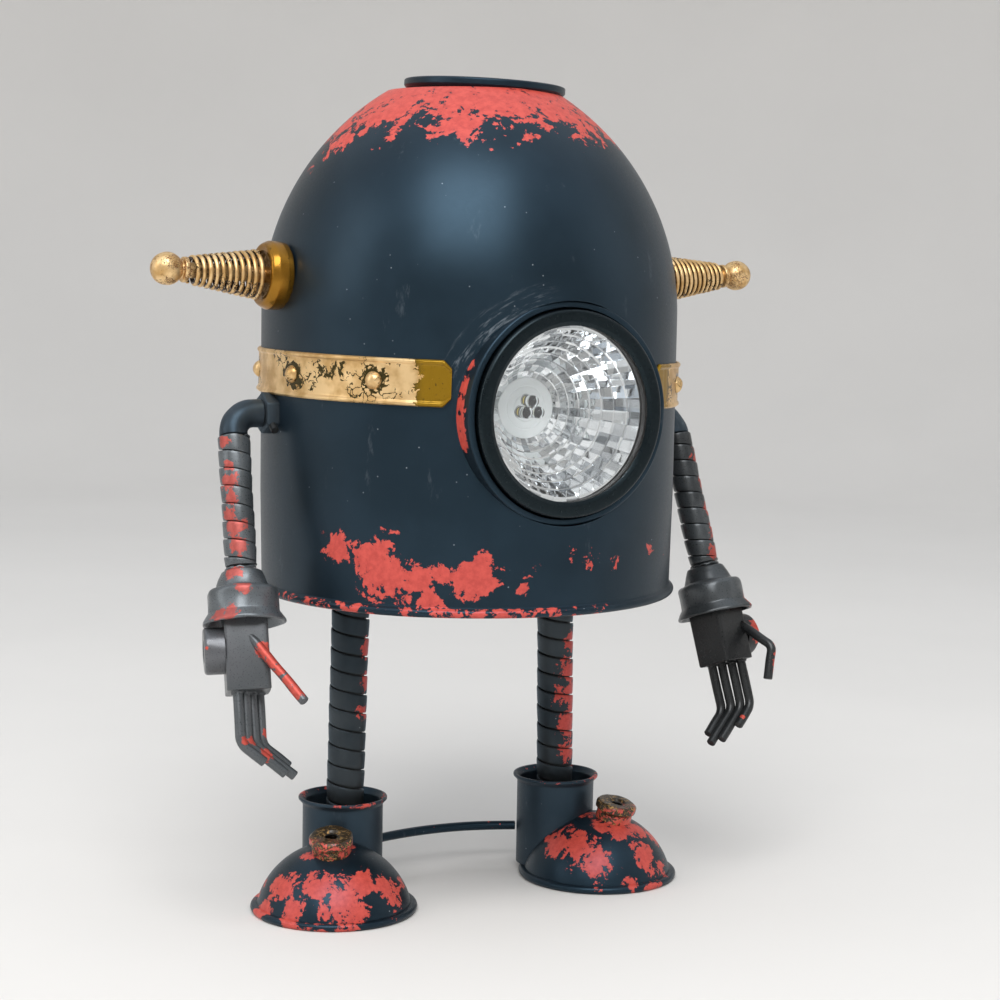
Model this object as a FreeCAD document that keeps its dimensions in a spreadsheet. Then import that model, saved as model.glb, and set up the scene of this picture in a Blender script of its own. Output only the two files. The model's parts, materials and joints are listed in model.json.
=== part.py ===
import FreeCAD, Part
import Sketcher
import math
import os

# A robot shaped desk lamp: a domed sheet steel body on two strip wound legs, with one round lamp as its eye.
# Millimetres. +Z is up, the front faces -Y, and the origin is on the floor at the middle of the outline.

SIZES = {
    # body shell and crown
    "wall": (1.2, "sheet thickness of shell, cups and bowls"),
    "body_radius": (88.3, "outer radius of the straight wall"),
    "rim_radius": (0.7, "how much less the wall's outer radius is just over the rolled rim"),
    "rim_height": (132.7, "lowest point of the rolled rim over the floor"),
    "bead_radius": (1.75, "radius of the rolled rim's roll"),
    "wall_foot_height": (175.0, "height where the wall becomes straight"),
    "dome_height": (250.0, "height where the dome begins"),
    "dome_radius": (108.4, "radius of the dome's arc"),
    "crown_flat": (36.0, "radius of the flat top of the dome"),
    "crown_radius": (34.0, "outer radius of the crown flange"),
    "crown_thick": (3.0, "thickness of the crown flange"),
    "crown_edge": (1.4, "rounding of the crown flange's edge"),
    "crown_hole": (28.0, "radius of the hole under the crown"),
    "crown_shift": (4.9, "how far the crown sits off the axis"),
    "crown_tilt": (2.4, "slope of the crown in degrees"),
    "crown_heading": (-28.2, "direction of the crown's shift and slope, degrees from +X"),
    "skirt_depth": (7.0, "depth of the crown flange's skirt"),
    "cell_radius": (30.8, "radius of the solar disc"),
    "cell_thick": (1.1, "thickness of the solar disc"),
    "seal_band": (3.5, "width of the crown seal"),
    # belt
    "belt_height": (223.7, "height of the belt's middle line at the body's axis"),
    "belt_width": (18.4, "width of the belt"),
    "belt_thick": (0.75, "thickness of the belt"),
    "belt_bead": (0.7, "how far the belt's edge beads stand out"),
    "belt_play": (0.3, "gap between belt and shell"),
    "belt_bead_width": (2.2, "width of an edge bead"),
    "belt_gap": (31.5, "half angle that the belt leaves open at the eye, degrees"),
    "belt_tilt": (1.4, "slope of the belt in degrees"),
    "rivet_radius": (3.6, "radius of a belt rivet"),
    "rivet_rise": (2.4, "height of a belt rivet over the belt"),
    "rivet_start": (52.0, "angle of the first rivet from the front, degrees"),
    "rivet_count": (10.0, "number of belt rivets"),
    # eye
    "eye_height": (213.2, "height of the lamp's axis"),
    "bezel_front": (1.75, "how far the bezel's front plane lies outside the wall"),
    "bezel_radius": (41.3, "outer radius of the bezel"),
    "bezel_depth": (14.0, "length of the bezel along its axis"),
    "bezel_edge": (1.5, "rounding of the bezel's front edge"),
    "bezel_wall": (3.1, "thickness of the bezel's tube"),
    "bezel_lip": (1.05, "thickness of the lip in front of the lens"),
    "lens_open": (34.8, "radius of the bezel's opening"),
    "lens_thick": (2.45, "thickness of the lens"),
    "lens_play": (0.3, "radial play of the lens in the bezel"),
    "seal_thick": (1.2, "thickness of the lens seal"),
    "collar_wall": (2.7, "thickness of the eye collar"),
    "collar_front": (3.05, "how far the collar's front edge lies behind the bezel's front plane"),
    "collar_back": (17.0, "length of the collar, from its front edge to its back edge"),
    "housing_back": (48.05, "how far the lamp housing's back lies behind the bezel's front plane"),
    "housing_wall": (1.5, "thickness of the lamp housing"),
    "reflector_depth": (35.0, "depth of the reflector"),
    "reflector_wall": (1.0, "thickness of the reflector"),
    "reflector_rings": (8.0, "number of stepped rings in the reflector"),
    "carrier_radius": (12.4, "radius of the white disc that carries the light emitters"),
    "carrier_thick": (2.5, "thickness of that disc"),
    "carrier_boss": (5.75, "radius of the raised middle of that disc"),
    "boss_rise": (0.5, "height of the raised middle"),
    "led_radius": (2.5, "radius of a light emitter"),
    "led_length": (5.6, "length of an emitter's straight part"),
    "led_circle": (3.1, "radius of the circle on which the emitters stand"),
    # ears
    "ear_height": (265.0, "height of the ear's axis at the shell"),
    "ear_rise": (3.0, "slope of the ears in degrees"),
    "ear_seat": (0.3, "how far the seat, from which the ear is measured, lies inside the wall's face"),
    "ear_cup_radius": (14.0, "radius of the ear cup"),
    "ear_cup_length": (7.6, "how far the cup's face stands out from the seat"),
    "ear_cup_edge": (3.0, "rounding of the cup's edge"),
    "ear_rod_radius": (3.2, "radius of the ear's rod"),
    "ear_ball_radius": (6.65, "radius of the ball on the ear's tip"),
    "ear_ball_reach": (47.7, "distance of the ball's centre from the seat"),
    "ear_neck_radius": (5.2, "radius of the collar under the ball"),
    "ear_neck_length": (2.0, "length of the collar under the ball"),
    "coil_wire": (1.9, "wire diameter of the ear coil"),
    "coil_pitch": (2.58, "rise of the ear coil in one turn"),
    "coil_turns": (11.5, "turns of the ear coil"),
    "coil_wide": (9.55, "mean radius of the coil at the cup"),
    "coil_narrow": (4.95, "mean radius of the coil at the ball"),
    # shoulder
    "shoulder_height": (206.8, "mean height of the shoulders' axes"),
    "shoulder_slope": (2.1, "how far the right shoulder lies under the mean, and the left one over it"),
    "shoulder_back": (4.6, "how far the shoulder's axis lies behind the body's axis"),
    "nut_flats": (15.0, "width of the shoulder nut across its flats"),
    "nut_face": (5.1, "how far the nut's outer face stands out from the wall"),
    "pin_radius": (3.0, "radius of the shoulder pin"),
    "pin_reach": (7.6, "how far the pin stands out from the nut's face"),
    "pin_head_radius": (7.0, "radius of the pin's head inside the shell"),
    "pin_head_thick": (3.0, "thickness of the pin's head"),
    "running_play": (0.05, "radial play of a turning fit"),
    "face_play": (0.2, "gap between faces that turn on each other"),
    "set_screw_radius": (1.6, "radius of the shoulder's set screw"),
    "set_screw_out": (11.5, "distance of the screw's end from the shoulder's axis"),
    "set_screw_drop": (35.0, "direction of the set screw below the front, degrees"),
    # arm
    "arm_reach": (12.4, "distance of the elbow's corner from the nut's face"),
    "arm_forward": (19.6, "forward slope of the arm in degrees"),
    "arm_splay": (4.1, "outward slope of the arm in degrees"),
    "elbow_radius": (5.8, "radius of the elbow's tube"),
    "elbow_bend": (9.5, "bend radius of the elbow"),
    "arm_tube_radius": (4.9, "radius of the arm's inner tube"),
    "arm_sleeve_radius": (6.5, "outer radius of the arm's strip winding"),
    "arm_pitch": (7.4, "rise of the arm's winding in one turn"),
    "arm_sleeve_start": (10.0, "distance of the sleeve's end from the elbow's corner"),
    "strip_thick": (1.1, "thickness of the wound strip"),
    "strip_gap": (0.55, "gap between neighbouring turns of strip"),
    "wrist_gap": (1.5, "bare tube between the arm's winding and the bell"),
    "wrist_start": (71.0, "distance of the right wrist bell's top from the elbow's corner"),
    "wrist_step": (5.5, "how much nearer to the elbow the left wrist bell sits"),
    "bell_neck": (9.25, "radius of the bell's top"),
    "bell_neck_length": (4.5, "length of the bell's neck"),
    "bell_radius": (14.25, "radius of the bell's middle step"),
    "bell_shoulder": (8.0, "distance from the bell's top to its middle step"),
    "bell_length": (22.0, "whole length of the bell"),
    "bell_lip": (16.8, "radius of the bell's flared lip"),
    "palm_width": (17.5, "width of the palm's square tube"),
    "palm_end": (115.0, "distance of the palm's lower end from the elbow's corner"),
    "palm_turn": (16.8, "outward turn of the palm in degrees"),
    "bush_radius": (9.4, "radius of the bush on the palm's outer side"),
    "bush_length": (8.0, "length of the bush"),
    "bush_hole": (2.2, "radius of the hole in the bush"),
    "bush_drop": (10.2, "distance of the bush's axis below the bell's lip"),
    "rod_radius": (2.0, "radius of finger and thumb rods"),
    "finger_pitch": (4.3, "spacing of the fingers"),
    "finger_row": (45.0, "direction of the row of fingers against the palm's face, degrees"),
    "finger_length": (20.5, "length of a finger's upper part"),
    "finger_in": (15.5, "how far the longest finger's lower part bends inward"),
    "finger_front": (1.4, "how far the longest finger's lower part bends forward"),
    "finger_drop": (13.2, "how far the longest finger's lower part goes down"),
    "finger_bend": (7.0, "bend radius of a finger"),
    "thumb_drop": (5.9, "distance of the thumb's root below the bell's lip"),
    "thumb_out": (6.5, "how far the right thumb's root lies outward from the palm's middle"),
    "thumb_in": (1.4, "how far the left thumb's root lies inward from the palm's middle"),
    "thumb_bend": (4.5, "bend radius of the thumb"),
    # legs
    "leg_top_spread": (49.7, "half distance between the legs at the top"),
    "leg_top_back": (8.8, "how far the legs stand back at the top"),
    "ankle_spread": (52.4, "half distance between the ankles"),
    "ankle_back": (10.0, "how far the ankles stand back"),
    "leg_tube_radius": (6.6, "radius of the leg's inner tube"),
    "leg_sleeve_radius": (8.0, "outer radius of the leg's strip winding"),
    "leg_pitch": (8.2, "rise of the leg's winding in one turn"),
    "leg_nut_flats": (19.0, "width of the leg nut across its flats"),
    "leg_nut_thick": (6.0, "thickness of the leg nut"),
    # feet
    "foot_offset": (21.8, "distance of the bowl's centre from the ankle"),
    "foot_turn": (33.0, "outward turn of the feet in degrees"),
    "bowl_height": (28.0, "height of the foot bowl"),
    "bowl_curve": (33.6, "radius of the bowl's curve"),
    "bowl_rim": (33.5, "radius of the middle of the bowl's rolled rim"),
    "bowl_bead": (1.6, "radius of the roll"),
    "sole_radius": (31.0, "radius of the sole plate"),
    "sole_thick": (2.8, "thickness of the sole plate"),
    "cup_radius": (17.2, "outer radius of the ankle cup"),
    "cup_base": (3.0, "height of the ankle cup's underside"),
    "cup_top": (43.4, "height of the ankle cup's lip"),
    "cup_lip": (19.0, "radius of the ankle cup's lip"),
    "toe_offset": (7.7, "distance of the toe ring's foot from the bowl's axis"),
    "toe_radius": (9.1, "radius of the toe ring"),
    "toe_waist": (8.0, "radius of the toe ring's lower part"),
    "toe_rise": (7.2, "height of the toe ring over the bowl"),
    "toe_hole": (2.5, "radius of the toe ring's hole"),
    "brace_radius": (2.0, "radius of the heel brace"),
    "brace_height": (18.0, "height of the heel brace"),
    "brace_end_back": (16.5, "how far the brace's ends stand back"),
    "brace_mid_back": (30.0, "how far the brace's middle stands back"),
    # base and inner parts
    "plate_height": (137.0, "height of the base plate's underside"),
    "plate_thick": (2.0, "thickness of the base plate"),
    "plate_play": (0.3, "play of the base plate in the shell"),
    "tab_radius": (8.4, "radial length of a base tab, from the shell's inner wall"),
    "tab_width": (12.0, "width of a base tab"),
    "tab_thick": (3.0, "thickness of a base tab"),
    "screw_circle": (4.9, "how far the base screws' circle lies inside the shell's inner wall"),
    "screw_radius": (1.5, "radius of a base screw"),
    "screw_head": (2.8, "radius of a base screw's head"),
    "screw_head_thick": (1.8, "thickness of a base screw's head"),
    "screw_play": (0.1, "play of a screw in its hole"),
    "cell_can_radius": (9.2, "radius of the battery cell"),
    "cell_can_length": (65.0, "length of the battery cell"),
    "tray_wall": (2.0, "wall of the battery tray"),
    "tray_end": (5.5, "thickness of the tray's end blocks"),
    "tray_height": (13.0, "height of the battery tray"),
    "tray_front": (12.0, "how far the battery's middle lies behind the lamp housing"),
    "board_length": (44.0, "length of the charge board"),
    "board_width": (30.0, "width of the charge board"),
    "board_thick": (1.6, "thickness of the charge board"),
    "board_back": (30.0, "how far the board lies behind the body's axis"),
    "post_height": (4.0, "height of the posts under the board"),
    "post_radius": (2.5, "radius of a post"),
    "chip_height": (2.4, "height of the parts on the board"),
    "lead_radius": (0.8, "radius of an inner lead"),
    # switch
    "switch_height": (165.0, "height of the switch's middle"),
    "switch_length": (19.0, "length of the switch's body"),
    "switch_width": (12.6, "height of the switch's body"),
    "switch_depth": (17.0, "depth of the switch's body"),
    "switch_flange": (1.1, "thickness of the switch's flange"),
    "switch_border": (1.2, "how far the flange stands over the body"),
    "rocker_wall": (1.4, "wall round the rocker"),
    "rocker_play": (0.6, "play round the rocker"),
    "rocker_out": (0.65, "how far the rocker's high end stands over the flange"),
    "rocker_tilt": (7.0, "tilt of the rocker at rest in degrees"),
}

V = FreeCAD.Vector
EDGES_OF_TURN = 4
SIDES = (("left", -1.0), ("right", 1.0))
UP = V(0, 0, 1)

doc = FreeCAD.newDocument("robot_lamp")
sheet = doc.addObject("Spreadsheet::Sheet", "Sizes")
nodes = []


class Length:
    """A number that remembers the sheet formula that it comes from."""

    def __init__(self, number, formula):
        self.number = number
        self.formula = formula

    def __float__(self):
        return float(self.number)

    def __add__(self, other):
        return Length(float(self) + float(other), "(%s + %s)" % (formula(self), formula(other)))

    def __sub__(self, other):
        return Length(float(self) - float(other), "(%s - %s)" % (formula(self), formula(other)))

    def __rsub__(self, other):
        return Length(float(other) - float(self), "(%s - %s)" % (formula(other), formula(self)))

    def __mul__(self, other):
        return Length(float(self) * float(other), "(%s * %s)" % (formula(self), formula(other)))

    def __truediv__(self, other):
        return Length(float(self) / float(other), "(%s / %s)" % (formula(self), formula(other)))

    def __neg__(self):
        return Length(-float(self), "(0 - %s)" % formula(self))

    __radd__ = __add__
    __rmul__ = __mul__


def formula(item):
    return item.formula if isinstance(item, Length) else repr(float(item))


def root(item):
    return Length(math.sqrt(float(item)), "sqrt(%s)" % formula(item))


class Sizes:
    """The driving dimensions, each under its own name."""


def fill_sheet():
    sizes = Sizes()
    for row, (alias, (number, note)) in enumerate(SIZES.items(), start=1):
        sheet.set("A%d" % row, alias)
        sheet.set("B%d" % row, str(number))
        sheet.set("C%d" % row, note)
        sheet.setAlias("B%d" % row, alias)
        setattr(sizes, alias, Length(number, "Sizes." + alias))
    doc.recompute()
    return sizes


dim = fill_sheet()


# Builders

def bind(item, prop, size):
    if isinstance(size, Length):
        item.setExpression(prop, size.formula)
    setattr(item, prop, float(size))


def keep(item, label):
    item.Label = label
    nodes.append(item)
    return item


def arc_between(start, end, radius):
    """Arc of a signed radius: its centre lies left of the way from start to end when it is positive."""
    chord = end - start
    half = chord.Length / 2
    rise = math.sqrt(max(radius * radius - half * half, 0.0))
    left = V(-chord.y, chord.x, 0)
    left.normalize()
    centre = (start + end) / 2 + left * math.copysign(rise, radius)
    first, last = (start, end) if radius > 0 else (end, start)
    angles = [math.atan2(p.y - centre.y, p.x - centre.x) for p in (first, last)]
    return Part.ArcOfCircle(Part.Circle(centre, UP, abs(radius)), angles[0], angles[1])


def draw(body, plane, corners):
    """Closed outline with every corner bound to the sheet.

    A corner is (across, along) or (across, along, radius), and the radius belongs to the arc that leaves it."""
    sketch = body.newObject("Sketcher::SketchObject", body.Name + "_outline")
    support = next(item for item in body.Origin.OriginFeatures if item.Role == plane)
    sketch.AttachmentSupport = (support, [""])
    sketch.MapMode = "FlatFace"
    points = [V(float(corner[0]), float(corner[1]), 0) for corner in corners]
    heads = []
    for index, corner in enumerate(corners):
        start, end = points[index], points[(index + 1) % len(points)]
        if len(corner) == 3:
            sketch.addGeometry(arc_between(start, end, float(corner[2])))
            heads.append(1 if float(corner[2]) > 0 else 2)
        else:
            sketch.addGeometry(Part.LineSegment(start, end))
            heads.append(1)
    for index, corner in enumerate(corners):
        follower = (index + 1) % len(corners)
        tie(sketch, "Coincident", index, 3 - heads[index], follower, heads[follower])
        pin_corner(sketch, index, heads[index], "DistanceX", corner[0], -2)
        pin_corner(sketch, index, heads[index], "DistanceY", corner[1], -1)
        if len(corner) == 3:
            number = sketch.addConstraint(Sketcher.Constraint("Radius", index, abs(float(corner[2]))))
            bow = corner[2] if float(corner[2]) > 0 else -corner[2]
            sketch.setExpression("Constraints[%d]" % number, formula(bow))
    return sketch


def tie(sketch, kind, *places):
    return sketch.addConstraint(Sketcher.Constraint(kind, *places))


def pin_corner(sketch, index, point, kind, size, axis):
    """Holds one coordinate of a corner: on the axis when it is 0, else by a distance that the sheet drives."""
    if not isinstance(size, Length) and float(size) == 0:
        tie(sketch, "PointOnObject", index, point, axis)
        return
    if float(size) < 0:
        number = tie(sketch, kind, index, point, -1, 1, -float(size))
        sketch.setExpression("Constraints[%d]" % number, "0 - " + formula(size))
    else:
        number = tie(sketch, kind, -1, 1, index, point, float(size))
        sketch.setExpression("Constraints[%d]" % number, formula(size))


def turned(name, corners, angle=360.0):
    """A body turned about its own Z axis from an outline of radius against height."""
    body = doc.addObject("PartDesign::Body", name)
    body.Label = name
    outline = draw(body, "XZ_Plane", corners)
    revolution = body.newObject("PartDesign::Revolution", name + "_turn")
    revolution.Profile = outline
    revolution.ReferenceAxis = (outline, ["V_Axis"])
    bind(revolution, "Angle", angle)
    body.Tip = revolution
    return body


def padded(name, plane, corners, length, middle=False):
    """A body pushed out from a flat outline."""
    body = doc.addObject("PartDesign::Body", name)
    body.Label = name
    outline = draw(body, plane, corners)
    pad = body.newObject("PartDesign::Pad", name + "_pad")
    pad.Profile = outline
    bind(pad, "Length", length)
    pad.Midplane = middle
    body.Tip = pad
    return body


def cylinder(name, radius, height, placement=None):
    item = doc.addObject("Part::Cylinder", name)
    bind(item, "Radius", radius)
    bind(item, "Height", height)
    item.Placement = placement or FreeCAD.Placement()
    return item


def box(name, length, width, height, placement):
    """A box that is centred in X and Y and stands on its placement."""
    item = doc.addObject("Part::Box", name)
    bind(item, "Length", length)
    bind(item, "Width", width)
    bind(item, "Height", height)
    shift = FreeCAD.Placement(V(-float(length) / 2, -float(width) / 2, 0), FreeCAD.Rotation())
    item.Placement = placement * shift
    return item


def prism(name, flats, height, placement):
    """A hexagonal prism, given by its width across the flats."""
    item = doc.addObject("Part::Prism", name)
    item.Polygon = 6
    bind(item, "Circumradius", flats / math.sqrt(3))
    bind(item, "Height", height)
    item.Placement = placement
    return item


def minus(name, base, *tools):
    item = doc.addObject("Part::Cut", name)
    item.Base = base
    item.Tool = tools[0] if len(tools) == 1 else joined(name + "_tools", *tools)
    return item


def joined(name, *items):
    item = doc.addObject("Part::MultiFuse", name)
    item.Shapes = list(items)
    return item


def grouped(name, items):
    item = doc.addObject("Part::Compound", name)
    item.Links = list(items)
    return item


def shaped(name, shape, placement=None):
    """A feature whose shape is worked out here from the sheet's values."""
    item = doc.addObject("Part::Feature", name)
    item.Shape = shape
    item.Placement = placement or FreeCAD.Placement()
    return item


def at(across, back, height, rotation=None):
    return FreeCAD.Placement(V(float(across), float(back), float(height)), rotation or FreeCAD.Rotation())


def turn(axis, degrees):
    return FreeCAD.Rotation(axis, float(degrees))


def facing(side):
    """Turns local Z to the body's outward side."""
    return turn(V(0, 1, 0), side * 90)


# Windings

def helix_point(angle, hand, pitch, radius, taper):
    reach = radius + taper * angle
    return V(reach * math.cos(angle), hand * reach * math.sin(angle), pitch * angle / math.tau)


def helix_tangent(angle, hand, pitch, radius, taper):
    reach = radius + taper * angle
    across = taper * math.cos(angle) - reach * math.sin(angle)
    along = hand * (taper * math.sin(angle) + reach * math.cos(angle))
    tangent = V(across, along, pitch / math.tau)
    tangent.normalize()
    return tangent


def arc_from(start, tangent, end):
    """The arc that leaves start along its tangent and reaches end."""
    chord = end - start
    way = chord / chord.Length
    lean = math.acos(max(-1.0, min(1.0, tangent.dot(way))))
    side = tangent - way * tangent.dot(way)
    side.normalize()
    middle = (start + end) / 2 + side * (chord.Length / 2 * math.tan(lean / 2))
    return Part.Arc(start, middle, end).toShape()


def biarc(start, start_tangent, end, end_tangent):
    """Two arcs that meet smoothly, with the same reach on both sides."""
    chord = end - start
    both = start_tangent + end_tangent
    square = 2 * (start_tangent.dot(end_tangent) - 1)
    linear = -2 * chord.dot(both)
    constant = chord.dot(chord)
    reach = (-linear - math.sqrt(linear * linear - 4 * square * constant)) / (2 * square)
    if reach < 0:
        reach = (-linear + math.sqrt(linear * linear - 4 * square * constant)) / (2 * square)
    first = start + start_tangent * reach
    last = end - end_tangent * reach
    middle_tangent = last - first
    middle_tangent.normalize()
    middle = (first + last) / 2
    return [arc_from(start, start_tangent, middle), arc_from(middle, middle_tangent, end)]


def helix_wire(turns, *form):
    """A helix of biarcs, a quarter turn each."""
    edges = []
    step = math.tau / EDGES_OF_TURN
    for index in range(round(turns * EDGES_OF_TURN)):
        ends = (index * step, (index + 1) * step)
        edges += biarc(helix_point(ends[0], *form), helix_tangent(ends[0], *form),
                       helix_point(ends[1], *form), helix_tangent(ends[1], *form))
    return Part.Wire(edges)


def least_gap(label, turns, form, half_height, half_wire):
    """Prints the least distance between neighbouring turns, measured on points."""
    steps = 24
    count = int(turns * steps)
    points = [helix_point(index * math.tau / steps, *form) for index in range(count + 1)]
    gaps = [(points[far] - points[near] - V(0, 0, 2 * half_height)).Length - 2 * half_wire
            for near in range(count + 1)
            for far in range(near + steps * 3 // 4, min(near + steps * 5 // 4, count + 1))]
    print("least gap of %s to itself: %.2f mm" % (label, min(gaps)))


def round_winding(label, turns, pitch, wide, narrow, wire):
    """A coil of round wire whose radius shrinks steadily."""
    form = (1.0, pitch, wide, (narrow - wide) / (turns * math.tau))
    least_gap(label, turns, form, 0.0, wire / 2)
    path = helix_wire(turns, *form)
    ring = Part.Circle(helix_point(0.0, *form), helix_tangent(0.0, *form), wire / 2)
    return path.makePipeShell([Part.Wire([ring.toShape()])], True, False)


def strip_winding(label, length, pitch, outer, thick, gap):
    """A tube wound from a flat strip, left handed, cut square at height 0 and at its length."""
    middle = outer - thick / 2
    width = pitch - gap
    start = -pitch / 2 - gap
    turns = math.ceil((length - 2 * start) / pitch * EDGES_OF_TURN) / EDGES_OF_TURN
    form = (-1.0, pitch, middle, 0.0)
    least_gap(label, turns, form, width / 2, 0.0)
    path = helix_wire(turns, *form)
    corners = [V(middle + across * thick / 2, 0, along * width / 2)
               for across, along in ((-1, -1), (1, -1), (1, 1), (-1, 1), (-1, -1))]
    sweep = Part.BRepOffsetAPI.MakePipeShell(path)
    sweep.setBiNormalMode(UP)
    sweep.add(Part.Wire(Part.makePolygon(corners).Edges), False, False)
    sweep.build()
    sweep.makeSolid()
    strip = sweep.shape()
    strip.translate(V(0, 0, start))
    return strip.common(Part.makeCylinder(outer + thick, length))


def bent_rod(points, radius, bend):
    """A round rod along straight runs joined by tangent arcs."""
    edges = []
    start = points[0]
    for before, corner, after in zip(points, points[1:], points[2:]):
        back = before - corner
        onward = after - corner
        back.normalize()
        onward.normalize()
        lean = math.acos(max(-1.0, min(1.0, back.dot(onward)))) / 2
        reach = bend / math.tan(lean)
        inward = back + onward
        inward.normalize()
        middle = corner + inward * (bend / math.sin(lean) - bend)
        edges.append(Part.LineSegment(start, corner + back * reach).toShape())
        edges.append(Part.Arc(corner + back * reach, middle, corner + onward * reach).toShape())
        start = corner + onward * reach
    edges.append(Part.LineSegment(start, points[-1]).toShape())
    ring = Part.Circle(points[0], points[1] - points[0], radius)
    return Part.Wire(edges).makePipeShell([Part.Wire([ring.toShape()])], True, False)


# Body shell

def dome_reach(height, radius):
    """Radius of the dome's arc at a height over the floor, for an arc of the given radius."""
    middle = dim.body_radius - dim.dome_radius
    rise = height - dim.dome_height
    return middle + root(radius * radius - rise * rise)


def crown_level():
    across = dim.crown_flat - dim.body_radius + dim.dome_radius
    return dim.dome_height + root(dim.dome_radius * dim.dome_radius - across * across)


def rim_wall():
    """Outer radius of the wall just over the rolled rim."""
    return dim.body_radius - dim.rim_radius


def rim_inside():
    return rim_wall() - dim.wall


def outside_corners():
    """The outer outline from the bottom of the rolled rim to the flat of the crown."""
    bead_middle = rim_wall() + dim.bead_radius / 7
    bead_level = dim.rim_height + dim.bead_radius
    return [
        (bead_middle, dim.rim_height, dim.bead_radius),
        (bead_middle + dim.bead_radius, bead_level, dim.bead_radius),
        (bead_middle, bead_level + dim.bead_radius),
        (rim_wall(), bead_level + dim.bead_radius),
        (dim.body_radius, dim.wall_foot_height),
        (dim.body_radius, dim.dome_height, dim.dome_radius),
        (dim.crown_flat, crown_level()),
    ]


def shell_envelope():
    return turned("shell_envelope", outside_corners() + [(0, crown_level()), (0, dim.rim_height)])


def body_shell():
    inner_top = crown_level() - dim.wall
    inner_arc = dim.dome_radius - dim.wall
    bead_middle = rim_wall() + dim.bead_radius / 7
    bead_level = dim.rim_height + dim.bead_radius
    inside = [
        (0, crown_level()),
        (0, inner_top),
        (dome_reach(inner_top, inner_arc), inner_top, -inner_arc),
        (dim.body_radius - dim.wall, dim.dome_height),
        (dim.body_radius - dim.wall, dim.wall_foot_height),
        (rim_inside(), bead_level + dim.bead_radius),
        (bead_middle - dim.bead_radius, bead_level, dim.bead_radius),
    ]
    skin = turned("shell_skin", outside_corners() + inside)
    eye = cylinder("shell_eye_hole", dim.bezel_radius + dim.bezel_wall / 6 + dim.collar_wall, dim.body_radius,
                   at(0, -collar_back() + dim.body_radius / 3, dim.eye_height, turn(V(1, 0, 0), 90)))
    shoulders = [cylinder("shell_shoulder_hole_" + name, dim.pin_radius + dim.running_play * 2, dim.body_radius,
                          shoulder_place(side, dim.body_radius / 2)) for name, side in SIDES]
    ears = [cylinder("shell_ear_hole_" + name, dim.ear_rod_radius + dim.screw_play, ear_seat(),
                     ear_place(side) * at(0, 0, -ear_seat() / 2)) for name, side in SIDES]
    switch = box("shell_switch_hole", dim.switch_length + dim.plate_play, dim.switch_depth * 2,
                 dim.switch_width + dim.plate_play,
                 at(0, dim.body_radius, dim.switch_height - (dim.switch_width + dim.plate_play) / 2))
    crown = cylinder("shell_crown_hole", dim.crown_hole, dim.skirt_depth * 4,
                     crown_place() * at(0, 0, -dim.skirt_depth * 2))
    keep(minus("body_shell", skin, eye, *shoulders, *ears, switch, crown), "body_shell")


def crown_place():
    """The crown flange's own frame: off the axis, sloping down the way it is shifted."""
    heading = math.radians(float(dim.crown_heading))
    way = V(math.cos(heading), math.sin(heading), 0)
    slope = turn(UP.cross(way), dim.crown_tilt)
    shift = way * float(dim.crown_shift)
    return at(shift.x, shift.y, crown_level() + dim.cell_thick, slope)


def crown_pieces(envelope):
    step = dim.cell_thick + dim.face_play
    skirt = dim.crown_hole - dim.plate_play * 2
    flange = turned("crown_blank", [
        (skirt - dim.wall, -dim.skirt_depth),
        (skirt, -dim.skirt_depth),
        (skirt, 0),
        (dim.crown_radius - dim.crown_edge, 0, dim.crown_edge),
        (dim.crown_radius, dim.crown_edge, dim.crown_edge),
        (dim.crown_radius - dim.crown_edge, dim.crown_edge * 2),
        (dim.crown_radius - dim.crown_edge, dim.crown_thick),
        (dim.cell_radius + dim.face_play, dim.crown_thick),
        (dim.cell_radius + dim.face_play, dim.crown_thick - step),
        (0, dim.crown_thick - step),
        (0, dim.crown_thick - step - dim.wall),
        (skirt - dim.wall, dim.crown_thick - step - dim.wall),
    ])
    flange.Placement = crown_place()
    keep(minus("crown_flange", flange, envelope_rim(envelope)), "crown_flange")
    disc = cylinder("solar_disc", dim.cell_radius, dim.cell_thick,
                    crown_place() * at(0, 0, dim.crown_thick - step))
    keep(disc, "solar_disc")
    seal = turned("crown_seal_blank", [
        (dim.crown_hole + dim.plate_play, -dim.crown_thick),
        (dim.crown_hole + dim.plate_play + dim.seal_band, -dim.crown_thick),
        (dim.crown_hole + dim.plate_play + dim.seal_band, 0),
        (dim.crown_hole + dim.plate_play, 0),
    ])
    seal.Placement = crown_place()
    keep(minus("crown_seal", seal, envelope), "crown_seal")


def envelope_rim(envelope):
    """The envelope without the middle, so that it trims the flange but not its skirt."""
    plug = cylinder("crown_plug", dim.crown_hole, dim.skirt_depth * 4,
                    crown_place() * at(0, 0, -dim.skirt_depth * 2))
    return minus("shell_envelope_rim", envelope, plug)


# Belt

def belt_place():
    return at(0, 0, dim.belt_height, turn(V(0, 1, 0), dim.belt_tilt))


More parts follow.
